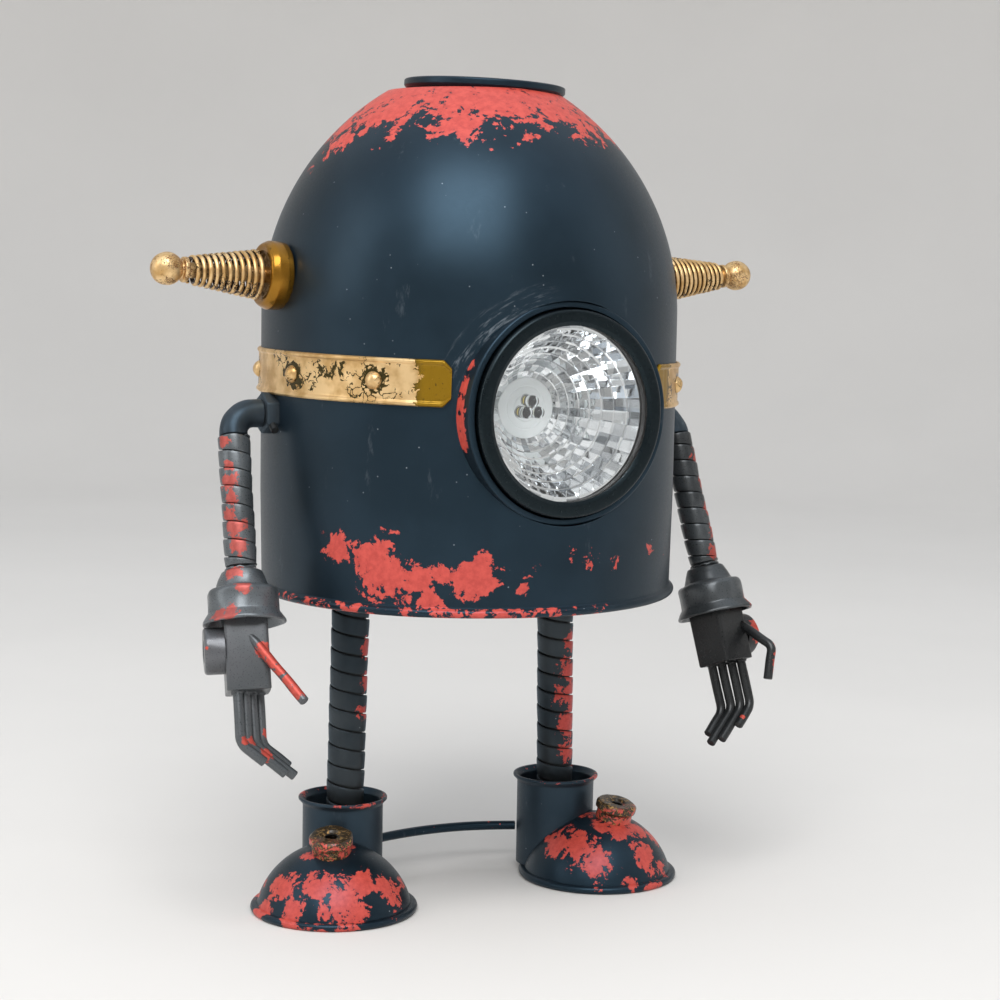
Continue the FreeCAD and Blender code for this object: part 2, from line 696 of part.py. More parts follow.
def belt_pieces():
    inner = dim.body_radius + dim.belt_play
    flat = inner + dim.belt_thick
    high = flat + dim.belt_bead
    half = dim.belt_width / 2
    edge = dim.belt_bead_width
    band = turned("belt_band", [
        (inner, -half),
        (flat, -half),
        (high, -half + edge / 4),
        (high, -half + edge * 0.6),
        (flat, -half + edge),
        (flat, half - edge),
        (high, half - edge * 0.6),
        (high, half - edge / 4),
        (flat, half),
        (inner, half),
    ], 360 - dim.belt_gap * 2)
    band.Placement = belt_place() * at(0, 0, 0, turn(UP, float(dim.belt_gap) - 90))
    keep(band, "belt_band")
    dome = turned("rivet_blank", [
        (0, 0),
        (dim.rivet_radius, 0),
        (dim.rivet_radius * 0.92, dim.rivet_rise * 0.45),
        (dim.rivet_radius * 0.55, dim.rivet_rise * 0.88),
        (0, dim.rivet_rise),
    ])
    doc.recompute()
    count = int(float(dim.rivet_count))
    step = (360 - 2 * float(dim.rivet_start)) / (count - 1)
    heads = []
    for index in range(count):
        angle = float(dim.rivet_start) - 90 + index * step
        place = belt_place() * at(0, 0, 0, turn(UP, angle)) * at(flat, 0, 0, turn(V(0, 1, 0), 90))
        heads.append(dome.Shape.transformed(place.toMatrix()))
    keep(shaped("belt_rivets", Part.makeCompound(heads)), "belt_rivets")


# Eye

def eye_front():
    """Distance of the bezel's front plane from the body's axis."""
    return dim.body_radius + dim.bezel_front


def collar_front():
    return eye_front() - dim.collar_front


def collar_back():
    return collar_front() - dim.collar_back


def housing_back():
    return eye_front() - dim.housing_back


def eye_turned(name, corners):
    """A turned piece of the lamp: heights in its outline are distances in front of the body's axis."""
    item = turned(name, corners)
    item.Placement = at(0, 0, dim.eye_height, turn(V(1, 0, 0), 90))
    return keep(item, name)


def ring(inner, outer, back, front):
    return [(inner, back), (outer, back), (outer, front), (inner, front)]


def eye_pieces():
    front = eye_front()
    bore = dim.bezel_radius - dim.bezel_wall
    back = front - dim.bezel_depth
    collar_bore = dim.bezel_radius + dim.bezel_wall / 6
    eye_turned("eye_collar", ring(collar_bore, collar_bore + dim.collar_wall, collar_back(), collar_front()))
    eye_turned("lamp_bezel", [
        (bore, back),
        (dim.bezel_radius, back),
        (dim.bezel_radius, front - dim.bezel_edge, dim.bezel_edge),
        (dim.bezel_radius - dim.bezel_edge, front),
        (dim.lens_open + dim.bezel_edge, front),
        (dim.lens_open, front - dim.bezel_lip * 0.7),
        (dim.lens_open, front - dim.bezel_lip),
        (bore, front - dim.bezel_lip),
    ])
    lens_front = front - dim.bezel_lip
    lens_back = lens_front - dim.lens_thick
    lens_edge = bore - dim.lens_play
    eye_turned("lamp_lens", ring(0, lens_edge, lens_back, lens_front))
    seal_back = lens_back - dim.seal_thick
    eye_turned("lens_seal", ring(dim.lens_open, lens_edge, seal_back, lens_back))
    reflector(seal_back, lens_edge)
    emitter_pieces(seal_back - dim.reflector_depth)
    housing(back, seal_back - dim.reflector_depth)


def reflector(mouth, edge):
    """A bowl of stepped rings, each a cone and a small riser, deepest where it meets the white disc."""
    rings = int(float(dim.reflector_rings))
    throat = dim.carrier_radius + dim.face_play
    span = dim.lens_open - dim.reflector_wall - throat
    deep = mouth - dim.reflector_depth
    inner = [(throat, deep)]
    for index in range(1, rings + 1):
        share = index / rings
        level = deep + dim.reflector_depth * share ** 1.45
        inner.append((throat + span * share - 0.5, level))
        if index < rings:
            inner.append((throat + span * share, level))
    outer = [(edge, mouth), (edge, mouth - dim.reflector_wall)]
    for index in range(rings - 1, 0, -1):
        share = index / rings
        level = deep + dim.reflector_depth * share ** 1.45
        outer.append((throat + span * share + dim.reflector_wall * 1.4, level - dim.reflector_wall))
    outer.append((throat + dim.reflector_wall * 1.4, deep))
    eye_turned("lamp_reflector", list(reversed(inner + outer)))


def emitter_pieces(deep):
    top = deep + dim.boss_rise
    eye_turned("led_carrier", [
        (0, deep - dim.carrier_thick),
        (dim.carrier_radius + dim.reflector_wall * 2, deep - dim.carrier_thick),
        (dim.carrier_radius + dim.reflector_wall * 2, deep - dim.face_play),
        (dim.carrier_radius, deep - dim.face_play),
        (dim.carrier_radius, deep),
        (dim.carrier_boss, deep),
        (dim.carrier_boss - dim.boss_rise, top),
        (0, top),
    ])
    lamps = []
    for index in range(3):
        angle = math.radians(90 + 120 * index)
        across = float(dim.led_circle) * math.cos(angle)
        height = float(dim.eye_height + dim.led_circle * math.sin(angle))
        can = turned("led_%d" % index, [
            (0, 0),
            (dim.led_radius, 0),
            (dim.led_radius, dim.led_length, dim.led_radius),
            (0, dim.led_length + dim.led_radius),
        ])
        can.Placement = at(across, -top, height, turn(V(1, 0, 0), 90))
        lamps.append(can)
    keep(grouped("lamp_leds", lamps), "lamp_leds")


def housing(front, deep):
    outer = dim.bezel_radius
    bore = outer - dim.housing_wall * 2
    floor = housing_back() + dim.housing_wall
    eye_turned("lamp_housing", [
        (0, housing_back()),
        (outer, housing_back()),
        (outer, front),
        (bore, front),
        (bore, floor),
        (dim.carrier_radius, floor),
        (dim.carrier_radius, deep - dim.carrier_thick),
        (0, deep - dim.carrier_thick),
    ])


# Ears

def ear_seat():
    """Distance of the ear's seat from the body's axis."""
    return dim.body_radius - dim.ear_seat


def ear_place(side):
    """Local Z runs out along the ear's axis, and local 0 is its seat at the shell."""
    return at(side * float(ear_seat()), 0, dim.ear_height, turn(V(0, 1, 0), side * (90 - float(dim.ear_rise))))


def ear_pieces(envelope):
    face = dim.ear_cup_length
    coil_start = face + dim.coil_wire / 2 + dim.plate_play / 3
    coil_end = coil_start + dim.coil_turns * dim.coil_pitch + dim.coil_wire / 2 + dim.plate_play / 3
    neck_end = coil_end + dim.ear_neck_length
    coil = round_winding("ear coil", float(dim.coil_turns), float(dim.coil_pitch), float(dim.coil_wide),
                         float(dim.coil_narrow), float(dim.coil_wire))
    for name, side in SIDES:
        blank = turned("ear_cup_blank_" + name, [
            (dim.ear_rod_radius + dim.screw_play, -dim.ear_cup_length),
            (dim.ear_cup_radius, -dim.ear_cup_length),
            (dim.ear_cup_radius, face - dim.ear_cup_edge, dim.ear_cup_edge),
            (dim.ear_cup_radius - dim.ear_cup_edge, face),
            (dim.ear_rod_radius + dim.screw_play, face),
        ])
        blank.Placement = ear_place(side)
        keep(minus("ear_cup_" + name, blank, envelope), "ear_cup_" + name)
        neck_reach = dim.ear_ball_reach - root(dim.ear_ball_radius * dim.ear_ball_radius
                                               - dim.ear_rod_radius * dim.ear_rod_radius)
        rod = turned("ear_rod_" + name, [
            (0, -dim.ear_cup_length * 2),
            (dim.ear_rod_radius, -dim.ear_cup_length * 2),
            (dim.ear_rod_radius, coil_end),
            (dim.ear_neck_radius, coil_end),
            (dim.ear_neck_radius, neck_end),
            (dim.ear_rod_radius, neck_end),
            (dim.ear_rod_radius, neck_reach, dim.ear_ball_radius),
            (dim.ear_ball_radius, dim.ear_ball_reach, dim.ear_ball_radius),
            (0, dim.ear_ball_reach + dim.ear_ball_radius),
        ])
        rod.Placement = ear_place(side)
        keep(rod, "ear_rod_" + name)
        keep(shaped("ear_coil_" + name, coil, ear_place(side) * at(0, 0, coil_start)), "ear_coil_" + name)


# Shoulders and arms

def shoulder_level(side):
    """The shoulders follow the belt's slope, so that each nut stays under the belt."""
    return dim.shoulder_height - dim.shoulder_slope * side


def shoulder_place(side, reach):
    return at(side * float(reach), dim.shoulder_back, shoulder_level(side), facing(side))


def nut_front():
    """Distance of the nut's outer face from the body's axis."""
    return dim.body_radius + dim.nut_face


def shoulder_pieces(envelope):
    screws = []
    for name, side in SIDES:
        blank = prism("nut_blank_" + name, dim.nut_flats, nut_front() - dim.body_radius * 0.9,
                      shoulder_place(side, dim.body_radius * 0.9) * at(0, 0, 0, turn(UP, 30)))
        bore = cylinder("nut_bore_" + name, dim.pin_radius + dim.running_play * 2, nut_front(),
                        shoulder_place(side, dim.body_radius / 2))
        drop = math.radians(float(dim.set_screw_drop))
        way = V(0, -math.cos(drop), -math.sin(drop))
        seat = V(side * float(nut_front() - dim.set_screw_radius * 1.6), float(dim.shoulder_back),
                 float(shoulder_level(side)))
        lean = FreeCAD.Rotation(UP, way)
        start = float(dim.pin_radius) + float(dim.face_play)
        hole = cylinder("set_hole_" + name, dim.set_screw_radius + dim.screw_play / 2, dim.set_screw_out,
                        FreeCAD.Placement(seat + way * float(dim.pin_radius), lean))
        screw = cylinder("set_screw_" + name, dim.set_screw_radius, dim.set_screw_out - start,
                         FreeCAD.Placement(seat + way * start, lean))
        screws.append(screw)
        keep(minus("shoulder_nut_" + name, blank, bore, hole, envelope), "shoulder_nut_" + name)
        pin = turned("shoulder_pin_" + name, [
            (0, -dim.pin_head_thick),
            (dim.pin_head_radius, -dim.pin_head_thick),
            (dim.pin_head_radius, 0),
            (dim.pin_radius, 0),
            (dim.pin_radius, nut_front() + dim.pin_reach - pin_seat()),
            (0, nut_front() + dim.pin_reach - pin_seat()),
        ])
        pin.Placement = shoulder_place(side, pin_seat())
        keep(pin, "shoulder_pin_" + name)
    keep(grouped("shoulder_screws", screws), "shoulder_screws")


def pin_seat():
    """Where the pin's head meets the shell's inner wall: at the head's rim, where the wall curves in."""
    inner = dim.body_radius - dim.wall
    rim = dim.pin_head_radius + dim.shoulder_back
    return root(inner * inner - rim * rim) - dim.face_play


def arm_way(side):
    """Unit vector down the arm."""
    forward = math.tan(math.radians(float(dim.arm_forward)))
    splay = math.tan(math.radians(float(dim.arm_splay)))
    way = V(side * splay, -forward, -1)
    way.normalize()
    return way


def arm_place(side):
    """The arm's own frame: origin at the elbow's corner, Z up along the arm, X to the row's +X."""
    up = arm_way(side) * -1
    corner = V(side * float(nut_front() + dim.arm_reach), float(dim.shoulder_back), float(shoulder_level(side)))
    return FreeCAD.Placement(corner, FreeCAD.Rotation(V(1, 0, 0), V(), up, "ZXY"))


def down(distance):
    return at(0, 0, -float(distance))


def elbow(name, side):
    corner = arm_place(side).Base
    inner = V(side * float(nut_front() + dim.face_play), corner.y, corner.z)
    lower = corner + arm_way(side) * float(dim.arm_sleeve_start - dim.plate_play)
    tube = bent_rod([inner, corner, lower], float(dim.elbow_radius), float(dim.elbow_bend))
    blank = shaped("elbow_blank_" + name, tube)
    bore = cylinder("elbow_bore_" + name, dim.pin_radius + dim.running_play,
                    dim.pin_reach + dim.face_play, shoulder_place(side, nut_front()))
    keep(minus("elbow_" + name, blank, bore), "elbow_" + name)


def wrist_level(side):
    """Distance of the wrist bell's top from the elbow's corner."""
    return dim.wrist_start - dim.wrist_step * ((1 - side) / 2)


def lip_level(side):
    return wrist_level(side) + dim.bell_length


def wrist_bell(name, side):
    """A stepped bell, open below. Heights are negative because local Z points up the arm."""
    top = -wrist_level(side)
    low = -lip_level(side)
    step = top - dim.bell_shoulder
    lip = low + dim.wall * 3
    bell = turned("wrist_bell_" + name, [
        (dim.arm_tube_radius + dim.face_play, top - dim.wall * 2),
        (dim.bell_neck - dim.wall * 2, top - dim.bell_neck_length - dim.wall * 1.6),
        (dim.bell_radius - dim.wall, step - dim.wall * 1.2),
        (dim.bell_radius - dim.wall, lip),
        (dim.bell_lip - dim.wall, low),
        (dim.bell_lip, low),
        (dim.bell_lip, low + dim.wall / 2),
        (dim.bell_radius, lip + dim.wall),
        (dim.bell_radius, step - dim.wall / 2),
        (dim.bell_radius - dim.wall / 2, step),
        (dim.bell_neck + dim.wall, step + dim.wall / 2),
        (dim.bell_neck, top - dim.bell_neck_length),
        (dim.bell_neck - dim.wall, top - dim.wall / 2),
        (dim.arm_tube_radius + dim.wall, top),
        (dim.arm_tube_radius + dim.face_play, top),
    ])
    bell.Placement = arm_place(side)
    keep(bell, "wrist_bell_" + name)


def palm_place(side):
    return arm_place(side) * at(0, 0, 0, turn(UP, side * float(dim.palm_turn)))


def palm_top(side):
    """The palm's square tube ends under the bell's ceiling."""
    return wrist_level(side) + dim.bell_shoulder + dim.wall * 1.2 + dim.plate_play


def palm_pieces(name, side):
    top = palm_top(side)
    half = dim.palm_width / 2
    block = box("palm_blank_" + name, dim.palm_width, dim.palm_width, dim.palm_end - top,
                palm_place(side) * down(dim.palm_end))
    rounded = doc.addObject("Part::Fillet", "palm_block_" + name)
    rounded.Base = block
    doc.recompute()
    upright = [index for index, edge in enumerate(block.Shape.Edges, start=1)
               if edge.Length > float(dim.palm_end - top) - 0.01]
    rounded.Edges = [(index, float(dim.wall), float(dim.wall)) for index in upright]
    keep(rounded, "palm_block_" + name)
    bush = turned("palm_bush_" + name, [
        (dim.bush_hole, 0),
        (dim.bush_radius, 0),
        (dim.bush_radius, dim.bush_length - dim.wall, dim.wall),
        (dim.bush_radius - dim.wall, dim.bush_length),
        (dim.bush_hole + dim.wall / 2, dim.bush_length),
        (dim.bush_hole, dim.bush_length - dim.wall / 2),
    ])
    bush.Placement = palm_place(side) * at(side * float(half), 0, -lip_level(side) - dim.bush_drop, facing(side))
    keep(bush, "palm_bush_" + name)


# The thumb's bends in the arm's frame, as (outward, forward, down) steps from its root in the palm's face.
THUMB_STEPS = {
    "left": ((-7.2, 8.7, 14.6), (-7.2, 8.7, 14.6)),
    "right": ((5.0, 13.7, 13.5), (-4.3, -2.5, 14.0)),
}
# Each finger's place in the row, counted in pitches from its middle outward, and its lower part's share of the longest.
FINGERS = ((-1.5, 0.68), (-0.5, 1.0), (0.5, 0.95), (1.5, 0.6))


def hand_rods(name, side):
    """Four fingers in a row under the palm, and the thumb on its front face."""
    radius = float(dim.rod_radius)
    row = math.radians(float(dim.palm_turn) - float(dim.finger_row))
    along = V(side * math.cos(row), math.sin(row), 0)
    rods = []
    lower = V(-side * float(dim.finger_in), -float(dim.finger_front), -float(dim.finger_drop))
    for place, share in FINGERS:
        root_point = along * (place * float(dim.finger_pitch)) - UP * float(dim.palm_end)
        knuckle = root_point - UP * float(dim.finger_length)
        rods.append(bent_rod([root_point, knuckle, knuckle + lower * share], radius, float(dim.finger_bend)))
    palm_turn = turn(UP, side * float(dim.palm_turn))
    root_across = float(dim.thumb_out if side > 0 else dim.thumb_in)
    start = palm_turn.multVec(V(root_across, -float(dim.palm_width) / 2 + radius, 0))
    thumb = [start - UP * float(lip_level(side) + dim.thumb_drop)]
    for out, front, drop in THUMB_STEPS[name]:
        thumb.append(thumb[-1] + V(side * out, -front, -drop))
    straight = (thumb[1] - thumb[0]).getAngle(thumb[2] - thumb[1]) < 0.05
    thumb_rod = bent_rod([thumb[0], thumb[2]] if straight else thumb, radius, float(dim.thumb_bend))
    palm = Part.makeBox(float(dim.palm_width), float(dim.palm_width), float(dim.palm_end))
    palm.Placement = at(0, 0, 0, palm_turn) * at(-dim.palm_width / 2, -dim.palm_width / 2, -dim.palm_end)
    rods.append(thumb_rod.cut(palm))
    keep(shaped("hand_rods_" + name, Part.makeCompound(rods), arm_place(side)), "hand_rods_" + name)


def arm_pieces():
    sleeve_start = dim.arm_sleeve_start
    for name, side in SIDES:
        sleeve_length = wrist_level(side) - dim.wrist_gap - sleeve_start
        winding = strip_winding("arm sleeve", float(sleeve_length), float(dim.arm_pitch),
                                float(dim.arm_sleeve_radius), float(dim.strip_thick), float(dim.strip_gap))
        tube_end = wrist_level(side) + dim.wall * 2
        elbow(name, side)
        tube = cylinder("arm_tube_" + name, dim.arm_tube_radius, tube_end - sleeve_start,
                        arm_place(side) * down(tube_end))
        keep(tube, "arm_tube_" + name)
        place = arm_place(side) * down(sleeve_start + sleeve_length)
        keep(shaped("arm_sleeve_" + name, winding, place), "arm_sleeve_" + name)
        wrist_bell(name, side)
        palm_pieces(name, side)
        hand_rods(name, side)


# Legs and feet

def cup_floor():
    return dim.cup_base + dim.wall


def leg_place(side):
    """The leg's own frame: origin in the ankle cup, Z up along the leg."""
    low = V(side * float(dim.ankle_spread), float(dim.ankle_back), float(cup_floor() + dim.face_play))
    high = V(side * float(dim.leg_top_spread), float(dim.leg_top_back), float(dim.plate_height))
    return FreeCAD.Placement(low, FreeCAD.Rotation(UP, high - low))


def leg_length():
    """Length of the leg up to the base plate's underside."""
    across = dim.ankle_spread - dim.leg_top_spread
    back = dim.ankle_back - dim.leg_top_back
    rise = dim.plate_height - cup_floor() - dim.face_play
    return root(across * across + back * back + rise * rise)


def leg_pieces():
    sleeve_length = leg_length() - dim.plate_play * 2
    winding = strip_winding("leg sleeve", float(sleeve_length), float(dim.leg_pitch),
                            float(dim.leg_sleeve_radius), float(dim.strip_thick), float(dim.strip_gap))
    nuts = []
    for name, side in SIDES:
        tube_length = leg_length() + dim.plate_thick + dim.leg_nut_thick
        tube = cylinder("leg_tube_" + name, dim.leg_tube_radius, tube_length + dim.wall, leg_place(side))
        keep(tube, "leg_tube_" + name)
        place = leg_place(side) * at(0, 0, dim.plate_play)
        keep(shaped("leg_sleeve_" + name, winding, place), "leg_sleeve_" + name)
        place = at(side * float(dim.leg_top_spread), dim.leg_top_back, dim.plate_height + dim.plate_thick)
        nuts.append(minus("leg_nut_" + name,
                          prism("leg_nut_blank_" + name, dim.leg_nut_flats, dim.leg_nut_thick, place),
                          leg_bore("leg_nut_bore_" + name, side)))
    keep(grouped("leg_nuts", nuts), "leg_nuts")


def leg_bore(label, side):
    """A hole round the leg's tube, right through the plate and the nut."""
    return cylinder(label, dim.leg_tube_radius + dim.screw_play, leg_length() * 1.2, leg_place(side))


def foot_centre(side):
    heading = math.radians(float(dim.foot_turn))
    reach = float(dim.foot_offset)
    return V(side * (float(dim.ankle_spread) + reach * math.sin(heading)),
             float(dim.ankle_back) - reach * math.cos(heading), 0)


def toe_way(side):
    heading = math.radians(float(dim.foot_turn))
    return V(side * math.sin(heading), -math.cos(heading), 0)


def bowl_reach(level, radius):
    rise = level - dim.bowl_height + dim.bowl_curve
    return root(radius * radius - rise * rise)


def foot_bowl(name, side):
    bead = dim.bowl_bead
    inner = dim.bowl_curve - dim.wall
    skin = turned("bowl_skin_" + name, [
        (dim.bowl_rim, 0, bead),
        (dim.bowl_rim + bead, bead, bead),
        (dim.bowl_rim, bead * 2),
        (bowl_reach(bead * 2, dim.bowl_curve), bead * 2, dim.bowl_curve),
        (0, dim.bowl_height),
        (0, dim.bowl_height - dim.wall, -inner),
        (bowl_reach(bead * 2, inner), bead * 2),
        (dim.bowl_rim - bead, bead, bead),
    ])
    centre = foot_centre(side)
    skin.Placement = at(centre.x, centre.y, 0)
    cup = cylinder("bowl_cup_hole_" + name, dim.cup_radius, dim.cup_top,
                   at(side * float(dim.ankle_spread), dim.ankle_back, dim.cup_base))
    keep(minus("foot_bowl_" + name, skin, cup), "foot_bowl_" + name)


def ankle_cup(name, side):
    outer = dim.cup_radius
    bore = outer - dim.wall
    lip = dim.cup_top - dim.wall
    cup = turned("ankle_cup_" + name, [
        (0, dim.cup_base),
        (outer, dim.cup_base),
        (outer, lip - dim.wall),
        (dim.cup_lip, lip),
        (dim.cup_lip, dim.cup_top),
        (dim.cup_lip - dim.wall, dim.cup_top),
        (bore, lip - dim.wall / 2),
        (bore, cup_floor()),
        (0, cup_floor()),
    ])
    cup.Placement = at(side * float(dim.ankle_spread), dim.ankle_back, 0)
    keep(cup, "ankle_cup_" + name)


def toe_ring(name, side):
    """A ring that stands square on the bowl, a little in front of its top."""
    lean = math.degrees(math.asin(float(dim.toe_offset) / float(dim.bowl_curve)))
    middle = foot_centre(side) + UP * float(dim.bowl_height - dim.bowl_curve)
    slope = turn(UP.cross(toe_way(side)), lean)
    top = dim.bowl_curve + dim.toe_rise
    blank = turned("toe_blank_" + name, [
        (dim.toe_hole, dim.bowl_curve * 0.8),
        (dim.toe_waist, dim.bowl_curve * 0.8),
        (dim.toe_waist, top - dim.toe_rise * 0.55),
        (dim.toe_radius, top - dim.toe_rise * 0.45),
        (dim.toe_radius, top - dim.wall, dim.wall),
        (dim.toe_radius - dim.wall, top),
        (dim.toe_hole + dim.wall, top),
        (dim.toe_hole, top - dim.wall),
    ])
    blank.Placement = FreeCAD.Placement(middle, slope)
    ball = doc.addObject("Part::Sphere", "toe_seat_" + name)
    bind(ball, "Radius", dim.bowl_curve)
    ball.Placement = FreeCAD.Placement(middle, FreeCAD.Rotation())
    return minus("toe_ring_" + name, blank, ball)


def heel_brace():
    """A rod from ankle cup to ankle cup, bowed to the back and trimmed to the cups."""
    end = V(float(dim.ankle_spread), float(dim.brace_end_back) - 4, float(dim.brace_height))
    middle = V(0, float(dim.brace_mid_back), end.z)
    start = V(-end.x, end.y, end.z)
    arc = Part.Arc(start, middle, end)
    ring_edge = Part.Circle(start, arc.tangent(arc.FirstParameter)[0], float(dim.brace_radius)).toShape()
    rod = Part.Wire([arc.toShape()]).makePipeShell([Part.Wire([ring_edge])], True, False)
    blank = shaped("brace_blank", rod)
    cups = [cylinder("brace_trim_" + name, dim.cup_radius, dim.cup_top,
                     at(side * float(dim.ankle_spread), dim.ankle_back, 0)) for name, side in SIDES]
    keep(minus("heel_brace", blank, *cups), "heel_brace")


def foot_pieces():
    soles = []
    rings = []
    for name, side in SIDES:
        foot_bowl(name, side)
        ankle_cup(name, side)
        rings.append(toe_ring(name, side))
        centre = foot_centre(side)
        soles.append(cylinder("sole_" + name, dim.sole_radius, dim.sole_thick, at(centre.x, centre.y, 0)))
    keep(grouped("toe_rings", rings), "toe_rings")
    keep(grouped("foot_soles", soles), "foot_soles")
    heel_brace()


# Base plate and what it carries

TAB_ANGLES = (45, 135, 225, 315)


def plate_top():
    return dim.plate_height + dim.plate_thick


def around(angle, radius, height):
    heading = math.radians(angle)
    return at(float(radius) * math.cos(heading), float(radius) * math.sin(heading), height, turn(UP, angle))


def screw_circle():
    return rim_inside() - dim.screw_circle


def base_pieces():
    plate = cylinder("plate_disc", rim_inside() - dim.plate_play, dim.plate_thick,
                     at(0, 0, dim.plate_height))
    posts = [cylinder("board_post_%d" % index, dim.post_radius, dim.plate_thick + dim.post_height,
                      at(across * (float(dim.board_length) / 2 - 2 * float(dim.post_radius)),
                         float(dim.board_back) + along * (float(dim.board_width) / 2 - 2 * float(dim.post_radius)),
                         dim.plate_height))
             for index, (across, along) in enumerate(((-1, -1), (1, -1), (1, 1), (-1, 1)))]
    hole = dim.screw_radius + dim.screw_play
    holes = [cylinder("plate_screw_hole_%d" % angle, hole, dim.plate_thick * 3,
                      around(angle, screw_circle(), dim.plate_height - dim.plate_thick))
             for angle in TAB_ANGLES]
    bores = [leg_bore("plate_leg_hole_" + name, side) for name, side in SIDES]
    keep(minus("base_plate", joined("plate_with_posts", plate, *posts), *holes, *bores), "base_plate")
    tabs = []
    screws = []
    bore = cylinder("tab_limit", rim_inside() - dim.face_play / 10, dim.tab_thick,
                    at(0, 0, plate_top()))
    for angle in TAB_ANGLES:
        length = dim.tab_radius + dim.wall
        blank = box("tab_blank_%d" % angle, length, dim.tab_width, dim.tab_thick,
                    around(angle, rim_wall() - length / 2, plate_top()))
        drilled = minus("tab_drilled_%d" % angle, blank,
                        cylinder("tab_hole_%d" % angle, hole, dim.tab_thick,
                                 around(angle, screw_circle(), plate_top())))
        tab = doc.addObject("Part::Common", "tab_%d" % angle)
        tab.Base = drilled
        tab.Tool = bore
        tabs.append(tab)
        screw = turned("base_screw_%d" % angle, [
            (0, -dim.screw_head_thick),
            (dim.screw_head - dim.screw_head_thick / 3, -dim.screw_head_thick),
            (dim.screw_head, -dim.screw_head_thick / 2),
            (dim.screw_head, 0),
            (dim.screw_radius, 0),
            (dim.screw_radius, dim.plate_thick + dim.tab_thick + dim.screw_head_thick),
            (0, dim.plate_thick + dim.tab_thick + dim.screw_head_thick),
        ])
        screw.Placement = around(angle, screw_circle(), dim.plate_height)
        screws.append(screw)
    keep(grouped("base_tabs", tabs), "base_tabs")
    keep(grouped("base_screws", screws), "base_screws")


def tray_line():
    """How far the battery's middle lies in front of the body's axis."""
    return housing_back() - dim.tray_front


def battery_pieces():
    length = dim.cell_can_length + dim.tray_end * 2 + dim.plate_play * 2
    width = dim.cell_can_radius * 2 + dim.tray_wall * 2 + dim.plate_play * 2
    middle = plate_top() + dim.tray_wall + dim.cell_can_radius + dim.plate_play
    tray = box("tray_block", length, width, dim.tray_height, at(0, -tray_line(), plate_top()))
    trough_length = dim.cell_can_length + dim.plate_play * 2
    trough = cylinder("tray_trough", dim.cell_can_radius + dim.plate_play, trough_length,
                      at(-trough_length / 2, -tray_line(), middle, turn(V(0, 1, 0), 90)))
    mouth = box("tray_mouth", trough_length, (dim.cell_can_radius + dim.plate_play) * 2, dim.tray_height,
                at(0, -tray_line(), middle))
    keep(minus("battery_tray", tray, trough, mouth), "battery_tray")
    cell = cylinder("battery_cell", dim.cell_can_radius, dim.cell_can_length,
                    at(-dim.cell_can_length / 2, -tray_line(), middle, turn(V(0, 1, 0), 90)))
    keep(cell, "battery_cell")


def board_top():
    return plate_top() + dim.post_height + dim.board_thick


def charge_board():
    board = box("board_blank", dim.board_length, dim.board_width, dim.board_thick,
                at(0, dim.board_back, plate_top() + dim.post_height))
    chips = [box("board_chip_%d" % index, length, width, dim.chip_height, at(across, along, board_top()))
             for index, (across, along, length, width) in enumerate((
                 (-10, dim.board_back - 5, 8, 6), (2, dim.board_back + 5, 10, 8),
                 (15, dim.board_back - 6, 5, 9)))]
    keep(joined("charge_board", board, *chips), "charge_board")


def inner_leads():
    """The leads from lamp, switch and solar disc, each along straight runs and arcs."""
    radius = float(dim.lead_radius)
    lamp_back = -float(housing_back())
    tray_top = float(plate_top() + dim.tray_height)
    tray_side = float(dim.cell_can_length / 2 + dim.tray_end / 2)
    eye = float(dim.eye_height)
    front = -float(tray_line())
    board = float(board_top())
    back = float(dim.board_back)
    switch_back = float(switch_face() - dim.switch_depth)
    level = float(dim.switch_height)
    crown = crown_place().Base
    leads = []
    for name, side in SIDES:
        leads.append(bent_rod([V(side * 2, lamp_back, eye), V(side * 2, front, eye),
                               V(side * tray_side, front, eye - 34), V(side * tray_side, front, tray_top)],
                              radius, 5.0))
        leads.append(bent_rod([V(side * 5, switch_back, level), V(side * 5, back + 12, level),
                               V(side * 5, back + 12, board)], radius, 7.0))
    crown_under = crown.z + float(dim.crown_thick - dim.cell_thick - dim.face_play - dim.wall)
    leads.append(bent_rod([V(crown.x, crown.y, crown_under - 0.3), V(crown.x, crown.y, eye + 40),
                           V(-16, back + 6, eye - 10), V(-16, back + 6, board)], radius, 20.0))
    keep(shaped("inner_leads", Part.makeCompound(leads)), "inner_leads")


# Switch

def switch_face():
    """Distance of the flange's back face from the body's axis."""
    return dim.body_radius + dim.face_play / 10


